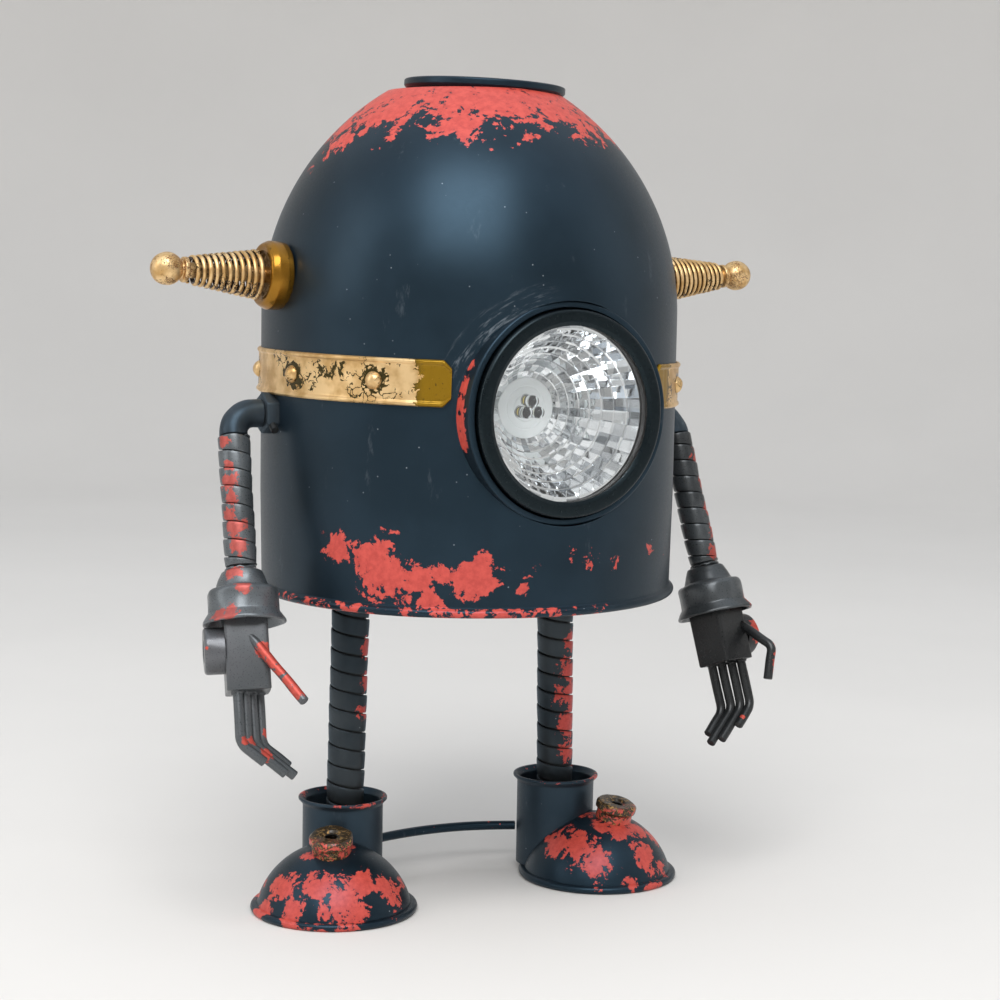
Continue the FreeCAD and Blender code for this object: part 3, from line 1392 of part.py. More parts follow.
def switch_pieces():
    face = switch_face()
    flange_front = face + dim.switch_flange
    level = dim.switch_height
    body = box("switch_block", dim.switch_length, dim.switch_depth, dim.switch_width,
               at(0, face - dim.switch_depth / 2, level - dim.switch_width / 2))
    flange = box("switch_flange_block", dim.switch_length + dim.switch_border * 2, dim.switch_flange,
                 dim.switch_width + dim.switch_border * 2,
                 at(0, face + dim.switch_flange / 2, level - dim.switch_width / 2 - dim.switch_border))
    hole_length = dim.switch_length - dim.rocker_wall * 2
    hole_height = dim.switch_width - dim.rocker_wall * 2
    pocket = box("switch_pocket", hole_length, dim.switch_depth, hole_height,
                 at(0, flange_front - dim.switch_depth / 2 + dim.switch_depth * 0.4, level - hole_height / 2))
    keep(minus("switch_body", joined("switch_blank", body, flange), pocket), "switch_body")
    half = hole_height / 2 - dim.rocker_play
    tilt = math.radians(float(dim.rocker_tilt))
    high = dim.rocker_out + dim.switch_flange + pivot_depth() - half * math.tan(tilt)
    rocker = padded("switch_rocker", "YZ_Plane", [
        (-half * 0.8, -half * 0.55),
        (-half * 0.8, half * 0.55),
        (high * 0.5, half),
        (high, half),
        (high * 0.8, 0),
        (high, -half),
        (high * 0.5, -half),
    ], hole_length - dim.rocker_play * 2, True)
    rocker.Placement = at(0, face - pivot_depth(), level, turn(V(1, 0, 0), dim.rocker_tilt))
    keep(rocker, "switch_rocker")


def pivot_depth():
    """How far the rocker's pivot lies behind the flange's back face."""
    return dim.switch_flange * 2


# Assembly

def build():
    envelope = shell_envelope()
    body_shell()
    crown_pieces(envelope)
    belt_pieces()
    eye_pieces()
    ear_pieces(envelope)
    shoulder_pieces(envelope)
    arm_pieces()
    leg_pieces()
    foot_pieces()
    base_pieces()
    battery_pieces()
    charge_board()
    inner_leads()
    switch_pieces()


def check_and_write():
    doc.recompute()
    broken = [item.Name for item in doc.Objects if {"Invalid", "Error"} & set(item.State)]
    if broken:
        raise RuntimeError("not built: " + ", ".join(broken))
    os.makedirs("parts", exist_ok=True)
    for item in nodes:
        if item.Shape.isNull() or not item.Shape.isValid() or not item.Shape.Solids:
            raise RuntimeError("no sound solid in " + item.Label)
    for item in nodes:
        item.Shape.exportStep("parts/%s.step" % item.Label)
    whole = Part.makeCompound([item.Shape for item in nodes]).BoundBox
    print("%d nodes, box %.2f %.2f %.2f to %.2f %.2f %.2f" % (
        len(nodes), whole.XMin, whole.YMin, whole.ZMin, whole.XMax, whole.YMax, whole.ZMax))


build()
check_and_write()
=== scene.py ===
import bpy
import bmesh
import json
import math
import numpy as np
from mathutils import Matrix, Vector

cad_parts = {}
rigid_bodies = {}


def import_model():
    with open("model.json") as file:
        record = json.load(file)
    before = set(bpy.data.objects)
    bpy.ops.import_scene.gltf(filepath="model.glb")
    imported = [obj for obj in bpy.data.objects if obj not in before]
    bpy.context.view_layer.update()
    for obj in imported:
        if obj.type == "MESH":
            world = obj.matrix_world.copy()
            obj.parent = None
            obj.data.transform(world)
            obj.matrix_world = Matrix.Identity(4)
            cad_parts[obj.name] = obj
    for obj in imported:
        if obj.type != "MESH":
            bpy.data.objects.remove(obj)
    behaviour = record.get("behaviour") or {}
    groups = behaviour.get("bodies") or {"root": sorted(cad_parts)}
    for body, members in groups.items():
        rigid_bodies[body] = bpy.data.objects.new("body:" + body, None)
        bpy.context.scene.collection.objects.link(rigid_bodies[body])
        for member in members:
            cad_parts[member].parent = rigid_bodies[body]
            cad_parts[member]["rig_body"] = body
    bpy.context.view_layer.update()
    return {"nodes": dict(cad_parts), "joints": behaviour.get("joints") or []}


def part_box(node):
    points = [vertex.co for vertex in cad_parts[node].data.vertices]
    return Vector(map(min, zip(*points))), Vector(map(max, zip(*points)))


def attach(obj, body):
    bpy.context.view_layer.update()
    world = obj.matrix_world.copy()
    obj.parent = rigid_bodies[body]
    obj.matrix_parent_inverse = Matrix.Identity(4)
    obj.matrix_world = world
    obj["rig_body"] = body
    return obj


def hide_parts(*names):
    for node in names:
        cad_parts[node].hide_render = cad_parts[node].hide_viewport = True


# A robot shaped desk lamp of sheet steel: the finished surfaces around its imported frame.
# Shapes are worked out in millimetres in the object's own frame and become metres in the mesh.
# An outline's corners are (across, along, corner radius), and a sharp corner leaves the radius out.

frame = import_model()

MM = 0.001
TURN = math.tau
SIDES = (("left", -1.0), ("right", 1.0))
UP = np.array([0.0, 0.0, 1.0])
# Across and toward the eye, for one who stands where the camera stands
SEEN_FROM = math.radians(-28.2)
SEEN_ACROSS = np.array([math.cos(SEEN_FROM), math.sin(SEEN_FROM), 0.0])
SEEN_TOWARD = np.cross(SEEN_ACROSS, UP)
joint_places = {joint["name"]: np.array(joint["pos_m"]) / MM for joint in frame["joints"]}


# Outlines

ROUTE_STEP = 0.6
ROUTE_BEND_STEPS = 14


def unit(vectors):
    """The vectors at length one."""
    return vectors / np.linalg.norm(vectors, axis=-1, keepdims=True)


def tangent_arc(before, corner, after, radius, steps):
    """Points on the arc of that radius that touches both sides of a corner.

    The arms from its middle to the touching points are blended by the sines of their shares of the turn."""
    back, onward = unit(before - corner), unit(after - corner)
    half = math.acos(np.clip(back @ onward, -1, 1)) / 2
    middle = corner + unit(back + onward) * radius / math.sin(half)
    start, end = (corner + way * radius / math.tan(half) - middle for way in (back, onward))
    share, turn = np.linspace(0, 1, steps)[:, None], math.pi - 2 * half
    return middle + (start * np.sin((1 - share) * turn) + end * np.sin(share * turn)) / math.sin(turn)


def rounded(corners, closed=True, steps=5):
    """Outline whose corners (across, along, radius) become arcs of that radius, tangent to both sides."""
    flat = np.array([corner[:2] for corner in corners], float)
    parts = []
    for index, corner in enumerate(corners):
        if len(corner) < 3 or corner[2] == 0.0 or (not closed and index in (0, len(corners) - 1)):
            parts.append(flat[index:index + 1])
        else:
            following = flat[(index + 1) % len(corners)]
            parts.append(tangent_arc(flat[index - 1], flat[index], following, corner[2], steps))
    return np.concatenate(parts)


def rectangle(half_across, half_up, radius=0.0):
    """A rectangle about the middle, with rounded corners."""
    return rounded([(across * half_across, up * half_up, radius)
                    for across, up in ((-1, -1), (1, -1), (1, 1), (-1, 1))])


def arc(centre, radius, start, end, steps):
    """Points at even angles, in degrees, round a centre."""
    angles = np.radians(np.linspace(start, end, steps))
    return np.array(centre) + radius * np.stack([np.cos(angles), np.sin(angles)], axis=1)


def dense(outline, step, closed=True):
    """The outline with every side cut into equal parts no longer than step."""
    ends = np.roll(outline, -1, axis=0) if closed else outline[1:]
    starts = outline if closed else outline[:-1]
    parts = []
    for start, end in zip(starts, ends):
        count = max(1, math.ceil(np.linalg.norm(end - start) / step))
        parts.append(start + (end - start) * np.arange(count)[:, None] / count)
    if not closed:
        parts.append(outline[-1:])
    return np.concatenate(parts)


def route(corners, bend):
    """Straight runs between corners, joined by tangent arcs of one radius, as close points."""
    corners = np.array(corners, float)
    bends = [tangent_arc(*three, bend, ROUTE_BEND_STEPS) for three in zip(corners, corners[1:], corners[2:])]
    return dense(np.concatenate([corners[:1], *bends, corners[-1:]]), ROUTE_STEP, closed=False)


# Surfaces: each is (points of shape rows x columns x 3, rows close, columns close, flat caps at the end rows)

COIL_STEPS = 40
WIRE_SIDES = 12
EDGE_STEPS = 4
BLOB_STEPS = 14


def polar(radius, angles, height):
    """Points at a radius, an angle about Z and a height, which are arrays that spread over each other."""
    radius, angles, height = np.broadcast_arrays(radius, angles, height)
    return np.stack([radius * np.cos(angles), radius * np.sin(angles), height], axis=-1)


def lathe(profile, steps=96, closed=True):
    """Point (i, j) is the profile's point i, radius and height, turned about Z by j steps of a turn."""
    angles = np.linspace(0, TURN, steps, endpoint=False)
    return polar(profile[:, :1], angles, profile[:, 1:]), closed, True, False


def tube(centre, radii, out, side, sides):
    """Ring i lies round point i of the centre line, in the plane of its out and side, at its own radius."""
    ring = np.linspace(0, TURN, sides, endpoint=False)[:, None]
    turned = out[:, None] * np.cos(ring) + side[:, None] * np.sin(ring)
    return centre[:, None] + radii[:, None, None] * turned, False, True, False


def wire_coil(turns, radius, end_radius, pitch, wire):
    """Round wire on a helix whose radius goes evenly from the first to the second value.

    Each ring of points lies in the plane of the outward line and the cross line; the ends shrink to a tip."""
    angles = np.linspace(0, turns * TURN, int(turns * COIL_STEPS) + 1)
    radii = radius + (end_radius - radius) * angles / (turns * TURN)
    centre = polar(radii, angles, pitch * angles / TURN)
    outward = polar(1.0, angles, 0.0)
    across = np.cross(unit(np.gradient(centre, axis=0)), outward)
    from_end = np.minimum(np.arange(len(angles)), np.arange(len(angles))[::-1])
    thick = wire / 2 * np.sin(np.clip(from_end / 3, 0, 1) * math.pi / 2)
    return tube(centre, thick, outward, across, WIRE_SIDES)


def strip_coil(length, pitch, outer, thick, gap, lift):
    """Flat strip on a left handed helix, cut square at both ends.

    A point's height is clamped between 0 and the length, and its radius grows by lift from the strip's lower
    edge to its upper one, so that each turn laps a little over the next."""
    width = pitch - gap
    turns = (length + width) / pitch
    margin = gap / pitch
    angles = np.linspace(margin * TURN, (turns - margin) * TURN, int(turns * COIL_STEPS))
    middle = pitch * angles / TURN - width / 2
    lower, upper = np.clip(middle - width / 2, 0, length), np.clip(middle + width / 2, 0, length)
    half = thick / 2
    section = rounded([(-half, -1), (-half, 1), (half, 1, thick * 0.3), (half, 0), (half, -1, thick * 0.3)],
                      steps=4)
    share = (section[:, 1] + 1) / 2
    radius = outer - half + section[:, 0] + lift * (share - 0.5)
    height = lower[:, None] + (upper - lower)[:, None] * share
    return polar(radius, -angles[:, None], height), False, True, True


def rod(path, radius, cross, chamfer, sides=20, bore=None):
    """A round bar along a flat path, each ring square to it; cross is the line square to the path's plane.

    The end rings shrink by the chamfer and close to a point. A bore (radius, depth) sinks in the start."""
    reach = np.concatenate([[0], np.cumsum(np.linalg.norm(np.diff(path, axis=0), axis=1))])
    length = reach[-1]
    head = [(0.0, 0.0), (0.0, radius - chamfer), (chamfer, radius)]
    tail = [(length - chamfer, radius), (length, radius - chamfer), (length, 0.0)]
    if bore:
        head[:1] = [(bore[1], 0.0), bore[::-1], (0.0, bore[0])]
    inner = reach[(reach > chamfer * 2) & (reach < length - chamfer * 2)]
    along, radii = np.array(head + [(place, radius) for place in inner] + tail).T
    centre, way = (np.stack([np.interp(along, reach, line[:, axis]) for axis in range(3)], axis=1)
                   for line in (path, unit(np.gradient(path, axis=0))))
    out = unit(np.cross(unit(np.array(cross, float)), way))
    return tube(centre, radii, out, np.cross(way, out), sides)


def pillar(outline, low, high, edge, radius):
    """A flat outline raised from low to high, drawn in toward its middle by an edge rounding at both ends."""
    angles = np.radians(np.linspace(0, 90, EDGE_STEPS))
    drawn = edge * (1 - np.sin(angles))
    rise = edge * (1 - np.cos(angles))
    inset = np.concatenate([[radius], drawn, drawn[::-1], [radius]])
    height = np.concatenate([[low], low + rise, high - rise[::-1], [high]])
    flat = outline[None] * np.clip(1 - inset / radius, 0, 1)[:, None, None]
    level = np.broadcast_to(height[:, None, None], flat.shape[:2] + (1,))
    return np.concatenate([flat, level], axis=2), False, True, False


def square_rod(half_across, half_up, low, high):
    """A plain square bar along Z, with flat ends."""
    outline = rectangle(half_across, half_up)
    points = np.stack([np.column_stack([outline, np.full(4, height)]) for height in (low, high)])
    return points, False, True, True


def drum(radius, low, high):
    """A plain closed cylinder, for cutting holes."""
    return lathe(np.array([(0, low), (radius, low), (radius, high), (0, high)]), closed=False)


def blob(centre, size):
    """A small lump: an ellipsoid of half sizes size about its centre."""
    down = np.linspace(0, math.pi, BLOB_STEPS)[:, None]
    ball = polar(np.sin(down), np.linspace(0, TURN, BLOB_STEPS * 2, endpoint=False), np.cos(down))
    return np.array(centre) + ball * np.array(size), False, True, False


def uneven(surface, amount, wave, seed):
    """The surface with each point pushed by four sine waves of about one wavelength, in seeded directions."""
    points, *rest = surface
    rng = np.random.default_rng(seed)
    waves = unit(rng.normal(size=(4, 3))) * TURN / wave
    push = unit(rng.normal(size=(4, 3))) * amount / 2
    return (points + np.sin(points @ waves.T + rng.uniform(0, TURN, 4)) @ push, *rest)


def placed(surface, origin, axes=None):
    """The surface with its own X, Y and Z laid along the rows of axes, at an origin."""
    points, *rest = surface
    axes = np.eye(3) if axes is None else np.array(axes)
    return (points @ axes + np.array(origin, float), *rest)


# Own axes: rows are the piece's own X, Y and Z as the object's directions

FRONT_AXES = [[1, 0, 0], [0, 0, 1], [0, -1, 0]]
BACK_AXES = [[-1, 0, 0], [0, 0, 1], [0, 1, 0]]


def outward_axes(side):
    """Z points out to a side."""
    return np.array([[0, 0, -side], [0, 1, 0], [side, 0, 0]])


def leaning_axes(way, lean):
    """Z leans from upright by an angle toward a level way."""
    level = np.cross(UP, way)
    up = UP * math.cos(lean) + way * math.sin(lean)
    return np.array([np.cross(level, up), level, up])


def turned_axes(angle, axes):
    """The axes turned about their own Z by an angle."""
    cosine, sine = math.cos(angle), math.sin(angle)
    return np.array([[cosine, sine, 0], [-sine, cosine, 0], [0, 0, 1]]) @ axes


# Meshes

MERGE_DISTANCE = 1e-6
LEAST_EDGE = 1e-7


def grid_faces(points, close_rows, close_columns):
    """Corner numbers and surface distances, in metres, of every four-sided face of a grid."""
    rows, columns = points.shape[:2]
    row, column = np.meshgrid(np.arange(rows if close_rows else rows - 1),
                              np.arange(columns if close_columns else columns - 1), indexing="ij")
    round_face = ((0, 0), (1, 0), (1, 1), (0, 1))
    corners = [(row + down) % rows * columns + (column + over) % columns for down, over in round_face]
    row_steps = np.linalg.norm(np.roll(points, -1, axis=0) - points, axis=2).mean(axis=1)
    column_steps = np.linalg.norm(np.roll(points, -1, axis=1) - points, axis=2).max(axis=0)
    u, v = (np.concatenate([[0], np.cumsum(steps)]) * MM for steps in (row_steps, column_steps))
    places = [np.stack([u[row + down], v[column + over]], -1) for down, over in round_face]
    return np.stack(corners, axis=-1).reshape(-1, 4), np.stack(places, axis=-2).reshape(-1, 2)


def outward_volume(points, faces):
    """Six times the signed volume that the faces enclose, positive when they point outward."""
    points = points - points.mean(axis=0)
    a, b, c, d = (points[faces[:, index]] for index in range(4))
    return float((np.cross(a, b) * c).sum() + (np.cross(a, c) * d).sum())


def shade(mesh, sharp):
    """Smooth faces that meet at a hard edge where they turn by more than an angle, in degrees."""
    mesh.polygons.foreach_set("use_smooth", np.ones(len(mesh.polygons), bool))
    mesh.set_sharp_from_angle(angle=math.radians(sharp))


def make_mesh(name, surfaces, sharp):
    """One mesh of several surfaces: faces turned outward, doubles merged, and distances in its UV map."""
    vertices, faces, places = [], [], []
    offset = 0
    for points, close_rows, close_columns, capped in surfaces:
        corners, surface_places = grid_faces(points, close_rows, close_columns)
        flat = points.reshape(-1, 3)
        count, columns = len(flat), points.shape[1]
        caps = [list(range(columns)), list(range(count - 1, count - 1 - columns, -1))] if capped else []
        if outward_volume(flat, corners) < 0:
            corners = corners[:, ::-1]
            surface_places = surface_places.reshape(-1, 4, 2)[:, ::-1].reshape(-1, 2)
            caps = [cap[::-1] for cap in caps]
        faces += (corners + offset).tolist()
        places.append(surface_places)
        for cap in caps:
            faces.append([corner + offset for corner in cap])
            places.append(flat[cap][:, :2] * MM)
        vertices.append(flat)
        offset += count
    mesh = bpy.data.meshes.new(name)
    mesh.from_pydata((np.concatenate(vertices) * MM).tolist(), [], faces)
    layer = mesh.uv_layers.new(name="surface")
    layer.data.foreach_set("uv", np.concatenate(places).astype(np.float32).ravel())
    tidy = bmesh.new()
    tidy.from_mesh(mesh)
    bmesh.ops.remove_doubles(tidy, verts=tidy.verts, dist=MERGE_DISTANCE)
    bmesh.ops.dissolve_degenerate(tidy, edges=tidy.edges, dist=LEAST_EDGE)
    tidy.to_mesh(mesh)
    tidy.free()
    shade(mesh, sharp)
    return mesh


def in_scene(name, data):
    """A new object that holds the data, linked to the scene."""
    item = bpy.data.objects.new(name, data)
    bpy.context.scene.collection.objects.link(item)
    return item


def piece(node, surfaces, material, sharp=32, cutters=None):
    """One finished piece that stands for one node of the frame, and rides where that node rides."""
    item = in_scene(node + "_fine", make_mesh(node + "_fine", surfaces, sharp))
    if cutters:
        cut_away(item, cutters, sharp)
    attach(item, frame["nodes"][node]["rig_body"])
    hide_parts(node)
    item.data.materials.clear()
    item.data.materials.append(material)
    return item


def cut_away(item, cutters, sharp):
    """Takes the cutters' space out of the piece, and leaves no modifier on it."""
    tool = in_scene("cutter", make_mesh("cutter", cutters, 30))
    cut = item.modifiers.new("cut", "BOOLEAN")
    cut.operation, cut.solver, cut.object = "DIFFERENCE", "EXACT", tool
    bpy.context.view_layer.update()
    evaluated = item.evaluated_get(bpy.context.evaluated_depsgraph_get())
    cut_mesh = bpy.data.meshes.new_from_object(evaluated)
    item.modifiers.clear()
    item.data = cut_mesh
    shade(cut_mesh, sharp)
    bpy.data.objects.remove(tool)


# Shader helpers

def wire_up(tree, value, socket):
    """Links a socket to the input, or sets the input to a value."""
    if isinstance(value, bpy.types.NodeSocket):
        tree.links.new(value, socket)
    else:
        socket.default_value = value


def dress(tree, node, inputs):
    """Wires up several of a node's inputs by their names."""
    for label, value in inputs.items():
        wire_up(tree, value, node.inputs[label])
    return node


def add(tree, kind, inputs=None, **settings):
    """A new node with its settings and inputs."""
    node = tree.nodes.new(kind)
    for key, value in settings.items():
        setattr(node, key, value)
    return dress(tree, node, inputs or {})


def calc(tree, operation, *values):
    """Arithmetic on numbers."""
    return add(tree, "ShaderNodeMath", dict(enumerate(values)), operation=operation).outputs[0]


def vector_calc(tree, operation, *values):
    """Arithmetic on vectors; gives the node's outputs."""
    return add(tree, "ShaderNodeVectorMath", dict(enumerate(values)), operation=operation).outputs


def split(tree, vector):
    """The vector's X, Y and Z."""
    return add(tree, "ShaderNodeSeparateXYZ", {0: vector}).outputs


def clamp_between(tree, value, low, high, out_low=0.0, out_high=1.0):
    """A smooth step: out_low up to low, out_high from high."""
    return add(tree, "ShaderNodeMapRange", {
        "Value": value, "From Min": low, "From Max": high, "To Min": out_low, "To Max": out_high},
        interpolation_type="SMOOTHSTEP").outputs["Result"]


def mottled(tree, value, low, high):
    """A noise's middle range spread from low to high."""
    return clamp_between(tree, value, 0.3, 0.7, low, high)


def blend_colour(tree, share, first, second):
    """From the first colour to the second by a share."""
    return add(tree, "ShaderNodeMix", {0: share, 6: first, 7: second}, data_type="RGBA").outputs[2]


def blend_value(tree, share, first, second):
    """From the first number to the second by a share."""
    return add(tree, "ShaderNodeMix", {0: share, 2: first, 3: second}, data_type="FLOAT").outputs[0]


def noise(tree, vector, scale, detail=4.0, roughness=0.55, distortion=0.0):
    """Layered noise about one half."""
    return add(tree, "ShaderNodeTexNoise", {
        "Vector": vector, "Scale": scale, "Detail": detail, "Roughness": roughness,
        "Distortion": distortion}).outputs["Fac"]


def shifted(tree, vector, offset, stretch=(1.0, 1.0, 1.0)):
    """The vector scaled by stretch and then moved."""
    return add(tree, "ShaderNodeMapping", {"Vector": vector, "Location": offset, "Scale": stretch}).outputs[0]


def bump(tree, height, distance, strength):
    """A normal that follows a height, over a distance in metres."""
    inputs = {"Height": height, "Distance": distance, "Strength": strength}
    return add(tree, "ShaderNodeBump", inputs).outputs["Normal"]


def make_group(name, vectors, numbers, outputs, fill):
    """A node group with vector inputs, number inputs and number outputs.

    The numbers come with their first values; fill makes the nodes and returns what each output carries."""
    tree = bpy.data.node_groups.new(name, "ShaderNodeTree")
    for label in vectors:
        tree.interface.new_socket(label, in_out="INPUT", socket_type="NodeSocketVector")
    for label, value in numbers.items():
        tree.interface.new_socket(label, in_out="INPUT", socket_type="NodeSocketFloat").default_value = value
    for label in outputs:
        tree.interface.new_socket(label, in_out="OUTPUT", socket_type="NodeSocketFloat")
    enter, leave = tree.nodes.new("NodeGroupInput"), tree.nodes.new("NodeGroupOutput")
    dress(tree, leave, fill(tree, enter.outputs))
    return tree


def use(tree, group, **inputs):
    """The outputs of a group placed in a material, with its own values."""
    node = tree.nodes.new("ShaderNodeGroup")
    node.node_tree = group
    return dress(tree, node, inputs).outputs


# Effects shared by several materials

def flake_nodes(tree, given):
    """Ragged flakes where a field beats layered noise; Height is the raised layer, Tone the colour's."""
    large = noise(tree, given["Vector"], given["Scale"], 6.0, 0.68, 0.9)
    fine_scale = calc(tree, "MULTIPLY", given["Scale"], 4.0)
    fine = noise(tree, shifted(tree, given["Vector"], (0.3, 0.7, 0.1)), fine_scale, 4.0, 0.65)
    ragged = calc(tree, "MULTIPLY_ADD", large, 1.15, calc(tree, "MULTIPLY", fine, 0.65))
    over = calc(tree, "ADD", calc(tree, "SUBTRACT", given["Field"], 0.5), calc(tree, "SUBTRACT", ragged, 0.9))
    mask = clamp_between(tree, over, -0.010, 0.010)
    return {"Mask": mask, "Height": clamp_between(tree, over, -0.02, 0.05), "Tone": fine}


flakes = make_group("ragged_flakes", ("Vector",), {"Field": 0.5, "Scale": 80.0}, ("Mask", "Height", "Tone"),
                    flake_nodes)


def spot_nodes(tree, given):
    """A soft spot: 1 at its centre, 0 at its reach and less beyond."""
    distance = vector_calc(tree, "DISTANCE", given["Vector"], given["Centre"])["Value"]
    return {"Value": calc(tree, "SUBTRACT", 1.0, calc(tree, "DIVIDE", distance, given["Reach"]))}


spot = make_group("soft_spot", ("Vector", "Centre"), {"Reach": 0.01}, ("Value",), spot_nodes)


def grain_nodes(tree, given):
    """Fine grain for gloss and bump, slow drift for colour, and sparse small specks."""
    fine = noise(tree, given["Vector"], given["Scale"], 3.0, 0.6)
    slow_scale = calc(tree, "DIVIDE", given["Scale"], 40.0)
    slow = noise(tree, shifted(tree, given["Vector"], (1.3, 0.2, 0.5)), slow_scale)
    dots = add(tree, "ShaderNodeTexVoronoi", {
        "Vector": given["Vector"], "Scale": calc(tree, "DIVIDE", given["Scale"], 6.0)}, feature="F1").outputs
    near = clamp_between(tree, dots["Distance"], given["Speck"], 0.0)
    chance = add(tree, "ShaderNodeSeparateColor", {0: dots["Color"]}).outputs[0]
    rare = calc(tree, "SUBTRACT", 1.0, given["Share"])
    kept = clamp_between(tree, chance, rare, calc(tree, "ADD", rare, 0.1))
    return {"Fine": fine, "Slow": slow, "Specks": calc(tree, "MULTIPLY", near, kept)}


grain = make_group("surface_grain", ("Vector",), {"Scale": 900.0, "Speck": 0.16, "Share": 0.3},
                   ("Fine", "Slow", "Specks"), grain_nodes)


def leaf_nodes(tree, given):
    """Metal leaf over lacquer: broken sheets with torn edges and small cracks."""
    sheets = noise(tree, given["Vector"], given["Scale"], 7.0, 0.7, 1.2)
    wobble = add(tree, "ShaderNodeTexNoise", {
        "Vector": given["Vector"], "Scale": calc(tree, "MULTIPLY", given["Scale"], 1.5)}).outputs["Color"]
    bent = vector_calc(tree, "MULTIPLY_ADD", wobble, (0.006, 0.006, 0.006), given["Vector"])[0]
    cracks = add(tree, "ShaderNodeTexVoronoi", {
        "Vector": bent, "Scale": calc(tree, "MULTIPLY", given["Scale"], 1.3)},
        feature="DISTANCE_TO_EDGE").outputs["Distance"]
    zones = noise(tree, shifted(tree, given["Vector"], (0.5, 0.2, 0.8)),
                  calc(tree, "MULTIPLY", given["Scale"], 0.3), 3.0)
    zone = clamp_between(tree, zones, 0.46, 0.60)
    line = calc(tree, "MULTIPLY", clamp_between(tree, cracks, 0.09, 0.0), zone)
    torn = calc(tree, "SUBTRACT", calc(tree, "ADD", sheets, 0.1), calc(tree, "MULTIPLY", line, 0.45))
    edge = calc(tree, "SUBTRACT", 1.0, given["Cover"])
    over = calc(tree, "SUBTRACT", torn, calc(tree, "ADD", calc(tree, "MULTIPLY", edge, 0.5), 0.3))
    return {"Mask": clamp_between(tree, over, -0.008, 0.012), "Tone": sheets,
            "Height": clamp_between(tree, over, -0.02, 0.05)}


leaf = make_group("metal_leaf", ("Vector",), {"Scale": 160.0, "Cover": 0.7}, ("Mask", "Tone", "Height"),
                  leaf_nodes)


# Colours

RED = (0.60, 0.082, 0.055, 1.0)
DEEP_RED = (0.46, 0.052, 0.034, 1.0)
BLACK = (0.0036, 0.0066, 0.0095, 1.0)
BLUE_BLACK = (0.0072, 0.0128, 0.0185, 1.0)
CUP_BLACK = ((0.012, 0.018, 0.024, 1), (0.024, 0.033, 0.042, 1))
ELBOW_BLACK = ((0.026, 0.032, 0.038, 1), (0.050, 0.060, 0.068, 1))
LEG_GREY = ((0.020, 0.021, 0.021, 1), (0.045, 0.046, 0.045, 1))
# Darker and lighter tone of arms and hands
ARM_GREYS = {"left": ((0.085, 0.094, 0.100, 1.0), (0.170, 0.190, 0.205, 1.0)),
             "right": ((0.030, 0.033, 0.035, 1.0), (0.085, 0.094, 0.100, 1.0))}
HAND_GREYS = {"left": ((0.085, 0.094, 0.100, 1.0), (0.125, 0.128, 0.138, 1.0)),
              "right": ((0.018, 0.019, 0.020, 1), (0.040, 0.043, 0.044, 1))}
SPECK = (0.34, 0.38, 0.42, 1.0)
DARK_SPECK = (0.012, 0.013, 0.014, 1.0)
DEEP_GOLD = (0.56, 0.34, 0.13, 1.0)
PALE_GOLD = (0.84, 0.59, 0.30, 1.0)
TOE_GOLD = (0.50, 0.30, 0.11, 1)
FLECK = (0.014, 0.010, 0.003, 1.0)
AMBER = (0.16, 0.075, 0.004, 1.0)
BELT_AMBER = (0.30, 0.165, 0.004, 1.0)
BELT_OLIVE = (0.050, 0.036, 0.006, 1.0)
CUP_LACQUER = (0.31, 0.145, 0.014, 1.0)
BALL_LACQUER = (0.20, 0.070, 0.022, 1.0)
COIL_LACQUER = (0.060, 0.028, 0.008, 1.0)
TOE_LACQUER = ((0.012, 0.009, 0.005, 1), (0.05, 0.030, 0.010, 1))
# Near black painted into the toe rings' holes: painted shade
HOLE_SHADE = (0.004, 0.003, 0.002, 1)
GLASS = (0.97, 0.985, 0.99, 1.0)
# Darker and lighter tile tones of the reflector: painted reflections
PAINTED_TILE_REFLECTIONS = ((0.42, 0.44, 0.46, 1), (0.93, 0.94, 0.95, 1))
WHITE_CARD = ((0.86, 0.90, 0.90, 1), (0.92, 0.95, 0.95, 1))
UNDER_EMITTER = (0.050, 0.048, 0.050, 1)
CHIP_AMBER = (0.70, 0.56, 0.12, 1)
CELL_LINE = (0.2, 0.22, 0.26, 1)
# Blue tint of the paint's reflections: a painted reflection colour, standing in for the blue of an open sky.
COOL_SHEEN = (0.42, 0.72, 1.0, 1.0)
BEZEL_SHEEN = (0.42, 0.58, 0.66, 1.0)
PLAIN_SHEEN = (1.0, 1.0, 1.0, 1.0)


# Materials

PAINT_GRAIN = 1500.0
PAINT_RISE = 0.00012
RED_ROUGH = 0.44
LEAF_GRAIN = 1400.0
LEAF_RISE = 0.0001
LEAF_METAL = 0.8
LACQUER_ROUGH = 0.22
PLAIN_GRAIN = 900.0


def start_material(name):
    """An empty material with its surface shader, output and object coordinates."""
    material = bpy.data.materials.new(name)
    material.use_nodes = True
    tree = material.node_tree
    tree.nodes.clear()
    shader = tree.nodes.new("ShaderNodeBsdfPrincipled")
    output = tree.nodes.new("ShaderNodeOutputMaterial")
    tree.links.new(shader.outputs[0], output.inputs["Surface"])
    return material, tree, shader, tree.nodes.new("ShaderNodeTexCoord").outputs["Object"]


def no_field(tree, vector):
    """A field with no red anywhere."""
    return -1.0


def spots_field(spots):
    """Field that is highest at each of the spots (centre in millimetres, reach in millimetres)."""
    def field(tree, vector):
        best = -1.0
        for centre, reach in spots:
            centre = tuple(measure * MM for measure in centre)
            value = use(tree, spot, Vector=vector, Centre=centre, Reach=reach * MM)["Value"]
            best = calc(tree, "MAXIMUM", best, value)
        return best
    return field


def drift_field(seed):
    """Field that rises in slow drifts, shifted by a seed."""
    def field(tree, vector):
        drift = noise(tree, shifted(tree, vector, (seed, 0.2, 0.4)), 38.0, 2.0, 0.5)
        return clamp_between(tree, drift, 0.44, 0.64, -0.6, 0.55)
    return field


